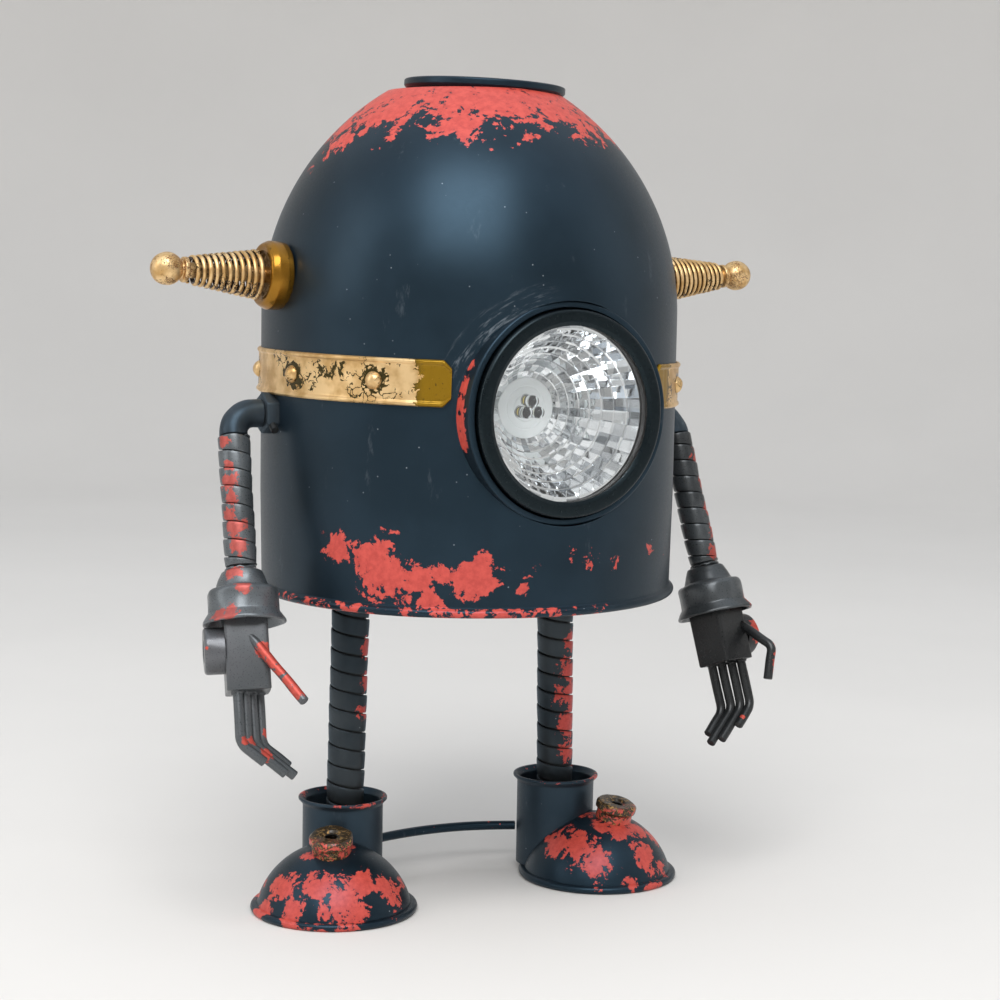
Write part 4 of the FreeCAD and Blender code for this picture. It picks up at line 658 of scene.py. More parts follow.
def painted(name, dark, light, field, gloss, flake_scale=80.0, strength=0.45, tint=1.0, metal=0.0,
            specks=(0.10, 0.20), speck_colour=SPECK, extra_streaks_at=None, sheen=COOL_SHEEN):
    """Satin paint between two dark tones, with fine specks and with red flakes where the field is high."""
    material, tree, shader, place = start_material(name)
    marks = use(tree, grain, Vector=place, Scale=PAINT_GRAIN, Speck=specks[0], Share=specks[1])
    drift = clamp_between(tree, noise(tree, place, 24.0), 0.35, 0.65)
    base = blend_colour(tree, drift, dark, light)
    streaks = noise(tree, shifted(tree, place, (0.0, 0.0, 0.0), (1.0, 1.0, 0.3)), 90.0, 6.0, 0.72)
    rubs_and_highlight = clamp_between(tree, streaks, 0.62, 0.80, 0.0, 0.22)
    # Pale streaks: rub marks all over, and where given, extra streaks that also hold a painted highlight, as
    # round the eye's collar.
    if extra_streaks_at:
        rubs_and_highlight = calc(tree, "MAXIMUM", rubs_and_highlight, extra_streaks_at(tree, place))
    for share in (rubs_and_highlight, marks["Specks"]):
        base = blend_colour(tree, share, base, speck_colour)
    reach = calc(tree, "MULTIPLY_ADD", field(tree, place), strength, 0.5 - strength * 0.35)
    chips = use(tree, flakes, Vector=place, Field=reach, Scale=flake_scale)
    red = blend_colour(tree, mottled(tree, chips["Tone"], 0.0, 1.0), DEEP_RED, RED)
    mask = calc(tree, "MULTIPLY", chips["Mask"], tint)
    height = calc(tree, "MULTIPLY_ADD", marks["Fine"], 0.12, calc(tree, "MULTIPLY", chips["Height"], 0.5))
    dress(tree, shader, {
        "Base Color": blend_colour(tree, mask, base, red),
        "Roughness": blend_value(tree, mask, mottled(tree, marks["Fine"], *gloss), RED_ROUGH),
        "Metallic": metal, "Specular Tint": sheen, "Normal": bump(tree, height, PAINT_RISE, 0.6)})
    return material


def gilded(name, cover, scale, cover_field=None, under=AMBER, flecks=(0.52, 0.62), under_metal=0.35):
    """Gold leaf over lacquer with dark flecks; under is the lacquer's colour, or a function that gives it."""
    material, tree, shader, place = start_material(name)
    amount = cover_field(tree, place, cover) if cover_field else cover
    gold = use(tree, leaf, Vector=place, Scale=scale, Cover=amount)
    marks = use(tree, grain, Vector=place, Scale=LEAF_GRAIN, Share=0.5)
    tone = clamp_between(tree, noise(tree, place, scale * 0.6, 3.0), 0.35, 0.65)
    bright = blend_colour(tree, tone, DEEP_GOLD, PALE_GOLD)
    dark = clamp_between(tree, noise(tree, place, scale * 4.0, 3.0, 0.7), *flecks)
    low = blend_colour(tree, dark, under(tree, place) if callable(under) else under, FLECK)
    leaf_rough = mottled(tree, marks["Fine"], 0.30, 0.46)
    height = calc(tree, "MULTIPLY_ADD", marks["Fine"], 0.3, gold["Height"])
    dress(tree, shader, {
        "Base Color": blend_colour(tree, gold["Mask"], low, bright),
        "Metallic": blend_value(tree, gold["Mask"], under_metal, LEAF_METAL),
        "Roughness": blend_value(tree, gold["Mask"], LACQUER_ROUGH, leaf_rough),
        "Normal": bump(tree, height, LEAF_RISE, 0.7)})
    return material


def plain_finish(name, dark, light, gloss, metal=0.0, rise=0.00004, specks=(0.12, 0.1), sheen=PLAIN_SHEEN):
    """A moulded, plated or rolled finish: two near tones, grain in gloss and bump."""
    material, tree, shader, place = start_material(name)
    marks = use(tree, grain, Vector=place, Scale=PLAIN_GRAIN, Speck=specks[0], Share=specks[1])
    base = blend_colour(tree, clamp_between(tree, marks["Slow"], 0.35, 0.65), dark, light)
    dress(tree, shader, {
        "Base Color": blend_colour(tree, calc(tree, "MULTIPLY", marks["Specks"], 0.5), base, light),
        "Roughness": mottled(tree, marks["Fine"], *gloss), "Metallic": metal, "Specular Tint": sheen,
        "Normal": bump(tree, marks["Fine"], rise, 0.6)})
    return material


def clear_finish(name, rough_low, rough_high):
    """Clear glass or resin with a faint film of dust, open to shadow rays and diffuse rays."""
    material, tree, shader, place = start_material(name)
    output = next(node for node in tree.nodes if node.type == "OUTPUT_MATERIAL")
    film = noise(tree, place, 120.0, 4.0, 0.6)
    dress(tree, shader, {
        "Roughness": clamp_between(tree, film, 0.4, 0.7, rough_low, rough_high), "Base Color": GLASS,
        "Transmission Weight": 1.0, "IOR": 1.45})
    path = add(tree, "ShaderNodeLightPath").outputs
    lets_in = calc(tree, "MAXIMUM", path["Is Shadow Ray"], path["Is Diffuse Ray"])
    open_way = add(tree, "ShaderNodeBsdfTransparent").outputs[0]
    both = add(tree, "ShaderNodeMixShader", {0: lets_in, 1: shader.outputs[0], 2: open_way})
    tree.links.new(both.outputs[0], output.inputs["Surface"])
    return material


# Body shell and crown

WALL = 1.2
BODY_RADIUS = 88.3
RIM_RADIUS = 87.6
BEAD_RADIUS = 1.75
BEAD_SHIFT = 0.25
WALL_FOOT = 175.0
DOME_HEIGHT = 250.0
DOME_RADIUS = 108.4
CROWN_FLAT = 36.0
EYE_HEIGHT = 213.2
COLLAR_OUTER = 44.52
CROWN_HOLE = 28.0
CROWN_HEADING = math.radians(-28.2)
CROWN_WAY = np.array([math.cos(CROWN_HEADING), math.sin(CROWN_HEADING), 0.0])
CROWN_AXES = leaning_axes(CROWN_WAY, math.radians(2.4))
CROWN_SHIFT = 4.9
CELL_THICK = 1.1
SWITCH_HOLE = (9.65, 6.45)
rim_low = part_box("body_shell")[0].z / MM
dome_middle = BODY_RADIUS - DOME_RADIUS
dome_top = DOME_HEIGHT + math.sqrt(DOME_RADIUS ** 2 - (CROWN_FLAT - dome_middle) ** 2)
crown_origin = CROWN_WAY * CROWN_SHIFT + UP * (dome_top + CELL_THICK)
EYE_CENTRE = (0, 0, EYE_HEIGHT)
FLANGE_OUTLINE = ((26.0, -7.0), (27.4, -7.0), (27.4, -1.0), (33.0, -1.0), (34.0, 0.2, 0.7), (34.0, 2.6, 0.8),
                  (32.6, 3.0, 0.3), (31.1, 3.0, 0.15), (31.0, 1.7), (0, 1.7), (0, 0.5), (26.0, 0.5))
DISC_OUTLINE = ((0, 1.7), (30.8, 1.7, 0.2), (30.8, 2.8, 0.3), (0, 2.8))


def shell_profile():
    """Wall and rolled rim: up the inside, over the dome's arc, down the outside and round the rim's roll."""
    inner_top = dome_top - WALL
    inner_reach = math.degrees(math.asin((inner_top - DOME_HEIGHT) / (DOME_RADIUS - WALL)))
    outer_reach = math.degrees(math.acos((CROWN_FLAT - dome_middle) / DOME_RADIUS))
    bead_middle = (RIM_RADIUS + BEAD_SHIFT, rim_low + BEAD_RADIUS)
    bead_top = rim_low + 2 * BEAD_RADIUS
    inside = np.array([(RIM_RADIUS - WALL, bead_top), (BODY_RADIUS - WALL, WALL_FOOT),
                       (BODY_RADIUS - WALL, DOME_HEIGHT)])
    outside = np.array([(BODY_RADIUS, WALL_FOOT), (RIM_RADIUS, bead_top + 0.7)])
    return np.concatenate([
        dense(inside, 4.0, closed=False)[:-1],
        arc((dome_middle, DOME_HEIGHT), DOME_RADIUS - WALL, 0, inner_reach, 30),
        [(0.0, inner_top), (0.0, dome_top)],
        arc((dome_middle, DOME_HEIGHT), DOME_RADIUS, outer_reach, 0, 44),
        dense(outside, 3.0, closed=False),
        arc(bead_middle, BEAD_RADIUS, 75, -185, 22)])


def switch_box():
    """Lowest and highest corner of the switch, in millimetres."""
    return [np.array(corner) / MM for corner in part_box("switch_body")]


def shell_cutters():
    """The holes for the eye, the crown and the switch."""
    switch_height = sum(switch_box())[2] / 2
    return [placed(drum(COLLAR_OUTER, 40.0, 120.0), EYE_CENTRE, FRONT_AXES),
            placed(drum(CROWN_HOLE, -20.0, 20.0), crown_origin, CROWN_AXES),
            placed(square_rod(*SWITCH_HOLE, 70.0, 110.0), (0, 0, switch_height), BACK_AXES)]


# Where red shows on the wall: azimuth from the front in degrees, height and reach
WALL_SPOTS = ((-63, 158, 9), (-52, 155, 13), (-48, 149, 14), (-40, 146, 9), (-33, 150, 7), (-25, 149, 13),
              (-37, 140, 8), (-12, 144, 4), (-150, 146, 12), (-170, 150, 10), (120, 147, 13), (160, 143, 9),
              (90, 152, 7))
# The same, for zones where the red is left only in small chips
WALL_CHIPS = ((-44, 151, 34), (-10, 151, 16), (0, 158, 15), (7, 153, 13), (16, 152, 14), (32, 156, 17),
              (42, 152, 16), (110, 150, 25), (-160, 150, 25))
CHIPS_FALL = 0.72


def wall_spots(spots):
    """The field of spots on the body's wall."""
    return spots_field([((BODY_RADIUS * math.sin(math.radians(azimuth)),
                          -BODY_RADIUS * math.cos(math.radians(azimuth)), height), reach)
                        for azimuth, height, reach in spots])


def shell_field(tree, vector):
    """Red in spots low on the wall, on the rim, and in a band under the crown that thins out downward."""
    level = split(tree, vector)["Z"]
    solid, chips = (wall_spots(spots)(tree, vector) for spots in (WALL_SPOTS, WALL_CHIPS))
    low = calc(tree, "MAXIMUM", solid, calc(tree, "SUBTRACT", chips, CHIPS_FALL))
    band_edge = noise(tree, shifted(tree, vector, (0.4, 0.1, 0.9), (1, 1, 0.2)), 26.0, 2.0)
    streak = noise(tree, shifted(tree, vector, (0.1, 0.6, 0.3), (1, 1, 0.25)), 85.0, 3.0)
    ragged = calc(tree, "MULTIPLY_ADD", band_edge, 0.045, calc(tree, "MULTIPLY_ADD", streak, 0.030, -0.0375))
    across = vector_calc(tree, "DOT_PRODUCT", vector, tuple(SEEN_ACROSS))["Value"]
    sideways = calc(tree, "ABSOLUTE", across)
    aside = calc(tree, "MULTIPLY_ADD", sideways, 0.20, -0.002)
    height = calc(tree, "ADD", calc(tree, "ADD", level, aside), ragged)
    worn = clamp_between(tree, sideways, 0.020, 0.045, 0.0, 0.22)
    band = calc(tree, "SUBTRACT", clamp_between(tree, height, 0.296, 0.342, -1.1, 0.72), worn)
    rim = noise(tree, shifted(tree, vector, (0.9, 0.3, 0.2)), 14.0, 3.0, 0.6)
    rim_zone = calc(tree, "MULTIPLY", clamp_between(tree, level, 0.1375, 0.1362),
                    clamp_between(tree, across, 0.070, 0.055))
    rim_field = calc(tree, "MULTIPLY_ADD", calc(tree, "MULTIPLY_ADD", rim, 1.35, 0.62), rim_zone, -1.0)
    return calc(tree, "MAXIMUM", calc(tree, "MAXIMUM", low, band), rim_field)


def from_eye(tree, place):
    """The coordinates, the height over the eye's middle and the distance from its axis."""
    parts = split(tree, place)
    up = calc(tree, "SUBTRACT", parts["Z"], EYE_HEIGHT * MM)
    square = calc(tree, "MULTIPLY_ADD", up, up, calc(tree, "MULTIPLY", parts["X"], parts["X"]))
    return parts, up, calc(tree, "SQRT", square)


def collar_streaks_and_highlight(tree, vector):
    """Faint pale streaks that follow the eye's collar, on its upper left side: scratch marks, and a painted
    highlight where the weld round the collar catches the light.
    """
    parts, up, reach = from_eye(tree, vector)
    turn = calc(tree, "ARCTAN2", up, calc(tree, "MULTIPLY", parts["X"], -1.0))
    along = add(tree, "ShaderNodeCombineXYZ", {0: reach, 1: calc(tree, "MULTIPLY", turn, 0.006)}).outputs[0]
    streak_lines = clamp_between(tree, noise(tree, along, 420.0, 6.0, 0.78, 0.3), 0.50, 0.66, 0.0, 0.5)
    near = clamp_between(tree, reach, 0.056, 0.0465)
    sector = calc(tree, "MULTIPLY", clamp_between(tree, turn, 0.1, 0.5), clamp_between(tree, turn, 1.5, 1.0))
    front = clamp_between(tree, parts["Y"], -0.04, -0.05)
    place = calc(tree, "MULTIPLY", sector, front)
    return calc(tree, "MULTIPLY", calc(tree, "MULTIPLY", streak_lines, near), place)


def body_pieces():
    """The shell, with its holes cut."""
    black = painted("satin_black_shell", BLACK, BLUE_BLACK, shell_field, gloss=(0.33, 0.41), flake_scale=90.0,
                    extra_streaks_at=collar_streaks_and_highlight)
    shell = uneven(lathe(shell_profile(), 256), amount=0.12, wave=70.0, seed=3)
    piece("body_shell", [shell], black, cutters=shell_cutters())


def solar_finish():
    """Dark cells with thin fingers and pale lines between them."""
    material, tree, shader, place = start_material("solar_cells")
    cells = add(tree, "ShaderNodeTexBrick", {
        "Vector": place, "Color1": (0.010, 0.014, 0.040, 1), "Color2": (0.014, 0.020, 0.055, 1),
        "Mortar": (0.22, 0.24, 0.27, 1), "Scale": 1.0, "Mortar Size": 0.0004, "Brick Width": 0.0155,
        "Row Height": 0.0155, "Mortar Smooth": 0.1, "Bias": 0.0}, offset=0.0)
    fingers = add(tree, "ShaderNodeTexWave", {"Vector": place, "Scale": 160.0}, bands_direction="X")
    lines = clamp_between(tree, fingers.outputs["Fac"], 0.93, 0.99, 0.0, 0.35)
    dress(tree, shader, {"Base Color": blend_colour(tree, lines, cells.outputs["Color"], CELL_LINE),
                         "Roughness": mottled(tree, noise(tree, place, 300.0), 0.12, 0.2)})
    return material


def crown_pieces():
    """Flange and solar disc, turned about the crown's own axis."""
    black = painted("crown_black", BLACK, BLUE_BLACK, no_field, gloss=(0.34, 0.45))
    for node, outline, step, turns, slot, material in (
            ("crown_flange", FLANGE_OUTLINE, 2.0, 128, "body_black", black),
            ("solar_disc", DISC_OUTLINE, 3.0, 96, "solar_cell", solar_finish())):
        surface = lathe(dense(rounded(outline), step), turns)
        piece(node, [placed(surface, crown_origin, CROWN_AXES)], material)


# Belt

BELT_HEIGHT = 223.7
BELT_SLOPE = math.radians(1.4)
BELT_INNER = 88.6
BELT_FLAT = 89.35
BELT_HIGH = 90.05
BELT_HALF = 9.2
BELT_GAP = 31.5
BELT_STEPS = 420
BEAD_WIDTH = 2.2
BELT_CLIP = 3.2
BELT_FOLD = 8.5
RIVET_RADIUS = 3.6
RIVET_RISE = 2.4
RIVET_START = 52.0
RIVET_COUNT = 10
BELT_AXES = np.array([[math.cos(BELT_SLOPE), 0, -math.sin(BELT_SLOPE)], [0, 1, 0],
                      [math.sin(BELT_SLOPE), 0, math.cos(BELT_SLOPE)]])
BELT_CENTRE = (0, 0, BELT_HEIGHT)
# Y in metres over which the bare lacquer next to the eye gives way to leaf
BARE_EDGE = (-0.0700, -0.0660)


def belt_strip():
    """Beaded section carried round the body, with clipped corners and a fold at each end, and slow waves."""
    outer_half = [(BELT_HIGH, BELT_HALF - 1.4, 0.5), (BELT_HIGH, BELT_HALF - 0.6, 0.5),
                  (BELT_FLAT, BELT_HALF, 0.2), (BELT_INNER, BELT_HALF)]
    lower = [(radius, -height, *bend) for radius, height, *bend in outer_half[::-1]]
    flat = [(BELT_FLAT, BEAD_WIDTH - BELT_HALF, 0.6), (BELT_FLAT, BELT_HALF - BEAD_WIDTH, 0.6)]
    section = dense(rounded(lower + flat + outer_half), 1.5)
    angles = np.radians(np.linspace(BELT_GAP - 90, 270 - BELT_GAP, BELT_STEPS))
    from_end = np.minimum(angles - angles[0], angles[-1] - angles) * BELT_FLAT
    narrow = 1 - np.clip(BELT_CLIP - from_end, 0, BELT_CLIP) / BELT_HALF
    fold = 0.22 * np.exp(-((from_end - BELT_FOLD) / 0.45) ** 2)
    outer = np.clip((section[:, 0] - BELT_INNER) / (BELT_FLAT - BELT_INNER), 0, 1)
    waves = 0.12 * np.sin(angles * 9 + 0.4) + 0.07 * np.sin(angles * 23 + 1.1) - 0.1
    radius = section[:, 0] - (fold[:, None] - waves[:, None] * 0.6) * outer
    radius = np.clip(radius, BELT_INNER, BELT_HIGH)
    points = polar(radius, angles[:, None], section[:, 1] * narrow[:, None])
    return placed((points, False, True, True), BELT_CENTRE, BELT_AXES)


def rivet_way(index):
    """The belt's own outward line through one rivet."""
    angle = math.radians(RIVET_START - 90 + index * (360 - 2 * RIVET_START) / (RIVET_COUNT - 1))
    return np.array([math.cos(angle), math.sin(angle), 0])


def rivet_place(index):
    """Where a rivet's middle lies on the belt."""
    return rivet_way(index) * BELT_FLAT @ BELT_AXES + BELT_CENTRE


def belt_cover(tree, place, cover):
    """Leaf all along the belt, whole on its beads, torn round the rivets, and none next to the eye."""
    parts = split(tree, place)
    ragged = calc(tree, "MULTIPLY", calc(tree, "SUBTRACT", noise(tree, place, 150.0), 0.5), 0.006)
    near_eye = clamp_between(tree, calc(tree, "ADD", parts["Y"], ragged), *BARE_EDGE)
    spots = spots_field([(rivet_place(index), 9.0) for index in range(RIVET_COUNT)])
    rivets = clamp_between(tree, spots(tree, place), 0.0, 0.7, 0.0, 0.58)
    level = calc(tree, "MULTIPLY_ADD", parts["X"], math.tan(BELT_SLOPE), parts["Z"])
    from_middle = calc(tree, "ABSOLUTE", calc(tree, "SUBTRACT", level, BELT_HEIGHT * MM))
    bead = clamp_between(tree, from_middle, 0.0068, 0.0074, 0.0, 0.35)
    patchy = clamp_between(tree, noise(tree, place, 60.0), 0.50, 0.68, 0.0, 0.52)
    whole = calc(tree, "ADD", calc(tree, "SUBTRACT", cover, calc(tree, "ADD", rivets, patchy)), bead)
    return calc(tree, "MULTIPLY", whole, near_eye)


def belt_lacquer(tree, place):
    """Bright amber where the belt is bare next to the eye, dark olive in the leaf's cracks."""
    back = clamp_between(tree, split(tree, place)["Y"], *BARE_EDGE)
    return blend_colour(tree, back, BELT_AMBER, BELT_OLIVE)


def belt_pieces():
    """The belt and its domed rivets, whose heads are caps of a sphere."""
    piece("belt_band", [belt_strip()],
          gilded("belt_leaf", 0.84, 190.0, belt_cover, belt_lacquer, (0.62, 0.70), under_metal=0.6), sharp=40)
    cap = (RIVET_RADIUS ** 2 + RIVET_RISE ** 2) / (2 * RIVET_RISE)
    reach = math.degrees(math.asin(RIVET_RADIUS / cap))
    dome = arc((0, RIVET_RISE - cap), cap, 90, 90 - reach, 10)
    profile = np.concatenate([dome, [(RIVET_RADIUS, -0.3), (0, -0.3)]])
    heads = []
    for index in range(RIVET_COUNT):
        out = rivet_way(index)
        head = uneven(lathe(profile, 28, closed=False), amount=0.12, wave=4.0, seed=40 + index)
        heads.append(placed(head, rivet_place(index), np.array([np.cross(UP, out), UP, out]) @ BELT_AXES))
    piece("belt_rivets", heads, gilded("rivet_leaf", 0.92, 260.0))


# Eye

BEZEL_FRONT = 90.05
BEZEL_RADIUS = 41.3
LENS_OPEN = 34.8
LENS_RADIUS = 37.9
LENS_FRONT = 89.0
LENS_BACK = 86.55
REFLECTOR_FRONT = 85.35
REFLECTOR_BACK = 50.35
THROAT = 12.6
MOUTH = 33.8
RINGS = 8
RING_POWER = 1.45
FACETS = 36
TILE_LIFT = 0.16
# Share of its place in ring and row that a tile fills
TILE_FILL = 0.985
CARRIER_RADIUS = 12.4
CARRIER_FACE = 50.85
LED_RADIUS = 2.5
LED_CIRCLE = 3.1
LED_LENGTH = 5.6
LED_TURNS = np.radians(90 + 120 * np.arange(3))
LED_DRAWN_IN = 0.985
# Rounded solids about the eye's axis: node, outline, longest step, steps in a turn
COLLAR = ("eye_collar", ((41.82, 70.0), (COLLAR_OUTER, 70.0), (COLLAR_OUTER, 87.0, 0.9), (41.82, 87.0, 0.5)),
          2.0, 160)
BEZEL = ("lamp_bezel", ((38.2, 76.05), (BEZEL_RADIUS, 76.05, 0.4), (BEZEL_RADIUS, BEZEL_FRONT, 1.5),
                        (36.4, BEZEL_FRONT, 0.5), (LENS_OPEN, 89.3, 0.25), (LENS_OPEN, 89.0), (38.2, 89.0)),
         2.0, 160)
LENS = ("lamp_lens", ((0, LENS_BACK), (LENS_RADIUS, LENS_BACK, 0.2), (LENS_RADIUS, LENS_FRONT, 0.2),
                      (0, LENS_FRONT)), 6.0, 96)
CARRIER = ("led_carrier", ((0, 47.85), (14.4, 47.85), (14.4, 50.15), (CARRIER_RADIUS, 50.15),
                           (CARRIER_RADIUS, 50.35, 0.1), (9.2, 50.35, 0.05), (9.0, 50.2), (8.6, 50.2),
                           (8.4, 50.35, 0.05), (5.75, 50.35), (5.25, CARRIER_FACE, 0.15), (0, CARRIER_FACE)),
           2.0, 96)
# Where red shows on the collar's left side
COLLAR_SPOTS = (((-44, -79, 203), 6), ((-45, -79, 210), 6), ((-45, -79, 217), 6), ((-43, -80, 224), 5),
                ((-40, -80, 232), 3))


def eye_piece(node, surfaces, material, sharp=32):
    """A piece made about the eye's axis."""
    piece(node, [placed(surface, EYE_CENTRE, FRONT_AXES) for surface in surfaces], material, sharp)


def turned(part):
    """The surface of a rounded solid about the eye's axis."""
    _, outline, step, turns = part
    return lathe(dense(rounded(outline), step), turns)


def mirror_bowl():
    """Stepped rings of flat mirror tiles: ring edges follow a power of their share, as heights over the back.

    A tile has corners of its own, close to its neighbours', and is raised from the bowl's wall by an even
    slope both ways, so that it stays flat and faces its own way."""
    share = np.arange(RINGS + 1) / RINGS
    edge_radius = THROAT + (MOUTH - THROAT) * share
    edge_height = REFLECTOR_BACK + (REFLECTOR_FRONT - REFLECTOR_BACK) * share ** RING_POWER
    part = np.array([0.0, TILE_FILL])
    radius = (edge_radius[:-1, None] + (edge_radius[1:] - 0.5 - edge_radius[:-1])[:, None] * part).ravel()
    height = (edge_height[:-1, None] + (edge_height[1:] - edge_height[:-1])[:, None] * part).ravel()
    angles = ((np.arange(FACETS)[:, None] + part) * TURN / FACETS).ravel()
    slopes = np.random.default_rng(11).uniform(-1, 1, (2, RINGS, FACETS)).repeat(2, axis=1).repeat(2, axis=2)
    ends = np.array([-0.5, 0.5])
    down, over = np.tile(ends, RINGS)[:, None], np.tile(ends, FACETS)
    shift = TILE_LIFT * (1 + slopes[0] * down + slopes[1] * over)
    shift[0] = 0.0
    face = polar(radius[:, None] - shift, angles, height[:, None] + shift * 0.5)
    back = np.array([(LENS_RADIUS, REFLECTOR_FRONT), (LENS_RADIUS, REFLECTOR_FRONT - 1.0),
                     (MOUTH + 1.5, REFLECTOR_FRONT - 1.0), (26.0, 65.5),
                     (THROAT + 1.4, REFLECTOR_BACK - 0.4)])
    return np.concatenate([face, polar(back[:, :1], angles, back[:, 1:])]), True, True, False


def emitters():
    """Three domed cans on a circle, a little slimmer than their solids."""
    outline = np.concatenate([[(0.0, 50.8), (2.9, 50.8), (2.9, 51.8), (LED_RADIUS, 51.9)],
                              arc((0, CARRIER_FACE + LED_LENGTH), LED_RADIUS, 0, 90, 10)])
    can = lathe(outline * (LED_DRAWN_IN, 1.0), 32, closed=False)
    return [placed(can, polar(LED_CIRCLE * LED_DRAWN_IN, angle, 0.0)) for angle in LED_TURNS]


def mirror_finish():
    """Bright plating, each tile of the bowl lighter or darker at random, found from its turn and ring: a
    painted reflection, standing in for the bright and dark things that the tiles would mirror.
    """
    material, tree, shader, place = start_material("bright_mirror")
    parts, up, reach = from_eye(tree, place)
    turn = calc(tree, "MULTIPLY_ADD", calc(tree, "ARCTAN2", up, parts["X"]), FACETS / TURN, FACETS)
    step = (MOUTH - THROAT) / RINGS
    row = calc(tree, "MULTIPLY_ADD", reach, 1 / (step * MM), -THROAT / step)
    tile = add(tree, "ShaderNodeCombineXYZ", {0: calc(tree, "FLOOR", turn), 1: calc(tree, "FLOOR", row)})
    # Painted reflection: each tile is made lighter or darker at random, as if it mirrored a brighter or
    # darker part of the room.
    own = add(tree, "ShaderNodeTexWhiteNoise", {"Vector": tile.outputs[0]}, noise_dimensions="2D")
    tone = clamp_between(tree, own.outputs["Value"], 0.0, 0.5)
    dress(tree, shader, {"Base Color": blend_colour(tree, tone, *PAINTED_TILE_REFLECTIONS), "Metallic": 1.0,
                         "Roughness": mottled(tree, noise(tree, place, 700.0), 0.02, 0.06)})
    return material


def carrier_finish():
    """White card, dark under each light emitter with a small amber chip in its middle."""
    material, tree, shader, place = start_material("carrier_white_card")
    tone = clamp_between(tree, noise(tree, place, 60.0), 0.35, 0.65)
    centres = [(LED_CIRCLE * math.cos(angle), -CARRIER_FACE, EYE_HEIGHT + LED_CIRCLE * math.sin(angle))
               for angle in LED_TURNS]
    under = spots_field([(centre, 2.45) for centre in centres])(tree, place)
    dark = blend_colour(tree, clamp_between(tree, under, 0.0, 0.10), blend_colour(tree, tone, *WHITE_CARD),
                        UNDER_EMITTER)
    dress(tree, shader, {
        "Base Color": blend_colour(tree, clamp_between(tree, under, 0.68, 0.74), dark, CHIP_AMBER),
        "Roughness": mottled(tree, noise(tree, place, 900.0), 0.40, 0.52)})
    return material


def eye_pieces():
    """Collar, bezel, lens, reflector, carrier and emitters."""
    black = painted("collar_black", BLACK, BLUE_BLACK, spots_field(COLLAR_SPOTS), gloss=(0.32, 0.42),
                    flake_scale=120.0)
    plastic = plain_finish("bezel_plastic", (0.0008, 0.0016, 0.0022, 1), (0.0014, 0.0026, 0.0034, 1),
                           (0.27, 0.31), specks=(0.08, 0.03), rise=0.00001, sheen=BEZEL_SHEEN)
    eye_piece(COLLAR[0], [uneven(turned(COLLAR), amount=0.1, wave=30.0, seed=5)], black)
    eye_piece(BEZEL[0], [turned(BEZEL)], plastic)
    eye_piece(LENS[0], [turned(LENS)], clear_finish("clear_glass", 0.0, 0.0015))
    eye_piece("lamp_reflector", [mirror_bowl()], mirror_finish(), sharp=1)
    eye_piece(CARRIER[0], [turned(CARRIER)], carrier_finish())
    eye_piece("lamp_leds", emitters(), clear_finish("clear_resin", 0.0, 0.01))


# Ears

EAR_TURN = math.radians(87.0)
EAR_SEAT = 88.0
EAR_HEIGHT = 265.0
EAR_STEM = 3.2
EAR_BALL = 6.65
EAR_REACH = 47.7
EAR_CUP_OUTLINE = ((3.3, -1.6), (13.6, -1.6, 0.4), (14.0, 0.8, 0.8), (14.0, 4.6, 1.6), (12.4, 7.6, 1.8),
                   (10.0, 7.6, 0.8), (9.0, 7.0, 0.6), (3.3, 7.0))
COIL_WIRE = 1.9
COIL_PITCH = 2.58
COIL_TURNS = 11.5
COIL_START = 8.65
COIL_RADII = (9.55, 4.95)
COIL_END = COIL_START + COIL_TURNS * COIL_PITCH + COIL_WIRE / 2 + 0.1


def ear_rod():
    """Stem and collar behind the coil, then a ball."""
    reach = math.degrees(math.asin(EAR_STEM / EAR_BALL))
    ball = arc((0, EAR_REACH), EAR_BALL, reach - 90, 90, 28)
    stem = rounded([(0, -8.0), (EAR_STEM, -8.0), (EAR_STEM, COIL_END), (5.2, COIL_END, 0.5),
                    (5.2, COIL_END + 2.0, 0.6), (3.4, COIL_END + 2.0, 0.3), (EAR_STEM, ball[0, 1])],
                   closed=False)
    return lathe(np.concatenate([dense(stem, 1.5, closed=False)[:-1], ball]), 64, closed=False)


def coil_leaf_and_shade(tree, place, cover):
    """Less leaf on the wire's inner half and on its sides toward the next turns, so that dark lacquer shows
    there: thinner leaf, and painted shade in the grooves between the turns; the surface map's second value
    runs round the wire.
    """
    around = split(tree, add(tree, "ShaderNodeUVMap", uv_map="surface").outputs["UV"])["Y"]
    turn = calc(tree, "MULTIPLY", around, TURN / (COIL_WIRE * math.pi * MM))
    # Painted shade: the wire turns dark from its top and bottom round to its inside, where the turns shade
    # one another.
    return clamp_between(tree, calc(tree, "COSINE", turn), 0.1, 0.75, 0.05, cover)


def ear_pieces(name, side, index):
    """Cup, rod with ball, and coil of one ear, turned about its axis."""
    cosine, sine = math.cos(side * EAR_TURN), math.sin(side * EAR_TURN)
    axes = np.array([[cosine, 0, -sine], [0, 1, 0], [sine, 0, cosine]])
    cup = uneven(lathe(dense(rounded(EAR_CUP_OUTLINE), 1.5), 96), amount=0.2, wave=9.0, seed=60 + index)
    coil = placed(wire_coil(COIL_TURNS, *COIL_RADII, COIL_PITCH, COIL_WIRE), (0, 0, COIL_START))
    for node, surface, material in (
            ("ear_cup_", cup, gilded("ear_cup_leaf_" + name, 0.16, 120.0, under=CUP_LACQUER, under_metal=0.8,
                                     flecks=(0.60, 0.72))),
            ("ear_rod_", uneven(ear_rod(), amount=0.1, wave=8.0, seed=70),
             gilded("ear_ball_leaf_" + name, 0.72, 420.0, under=BALL_LACQUER)),
            ("ear_coil_", uneven(coil, amount=0.12, wave=6.0, seed=80 + index),
             gilded("ear_coil_leaf_" + name, 0.74, 260.0, coil_leaf_and_shade, COIL_LACQUER))):
        piece(node + name, [placed(surface, (side * EAR_SEAT, 0, EAR_HEIGHT), axes)], material)


# Shoulders and arms

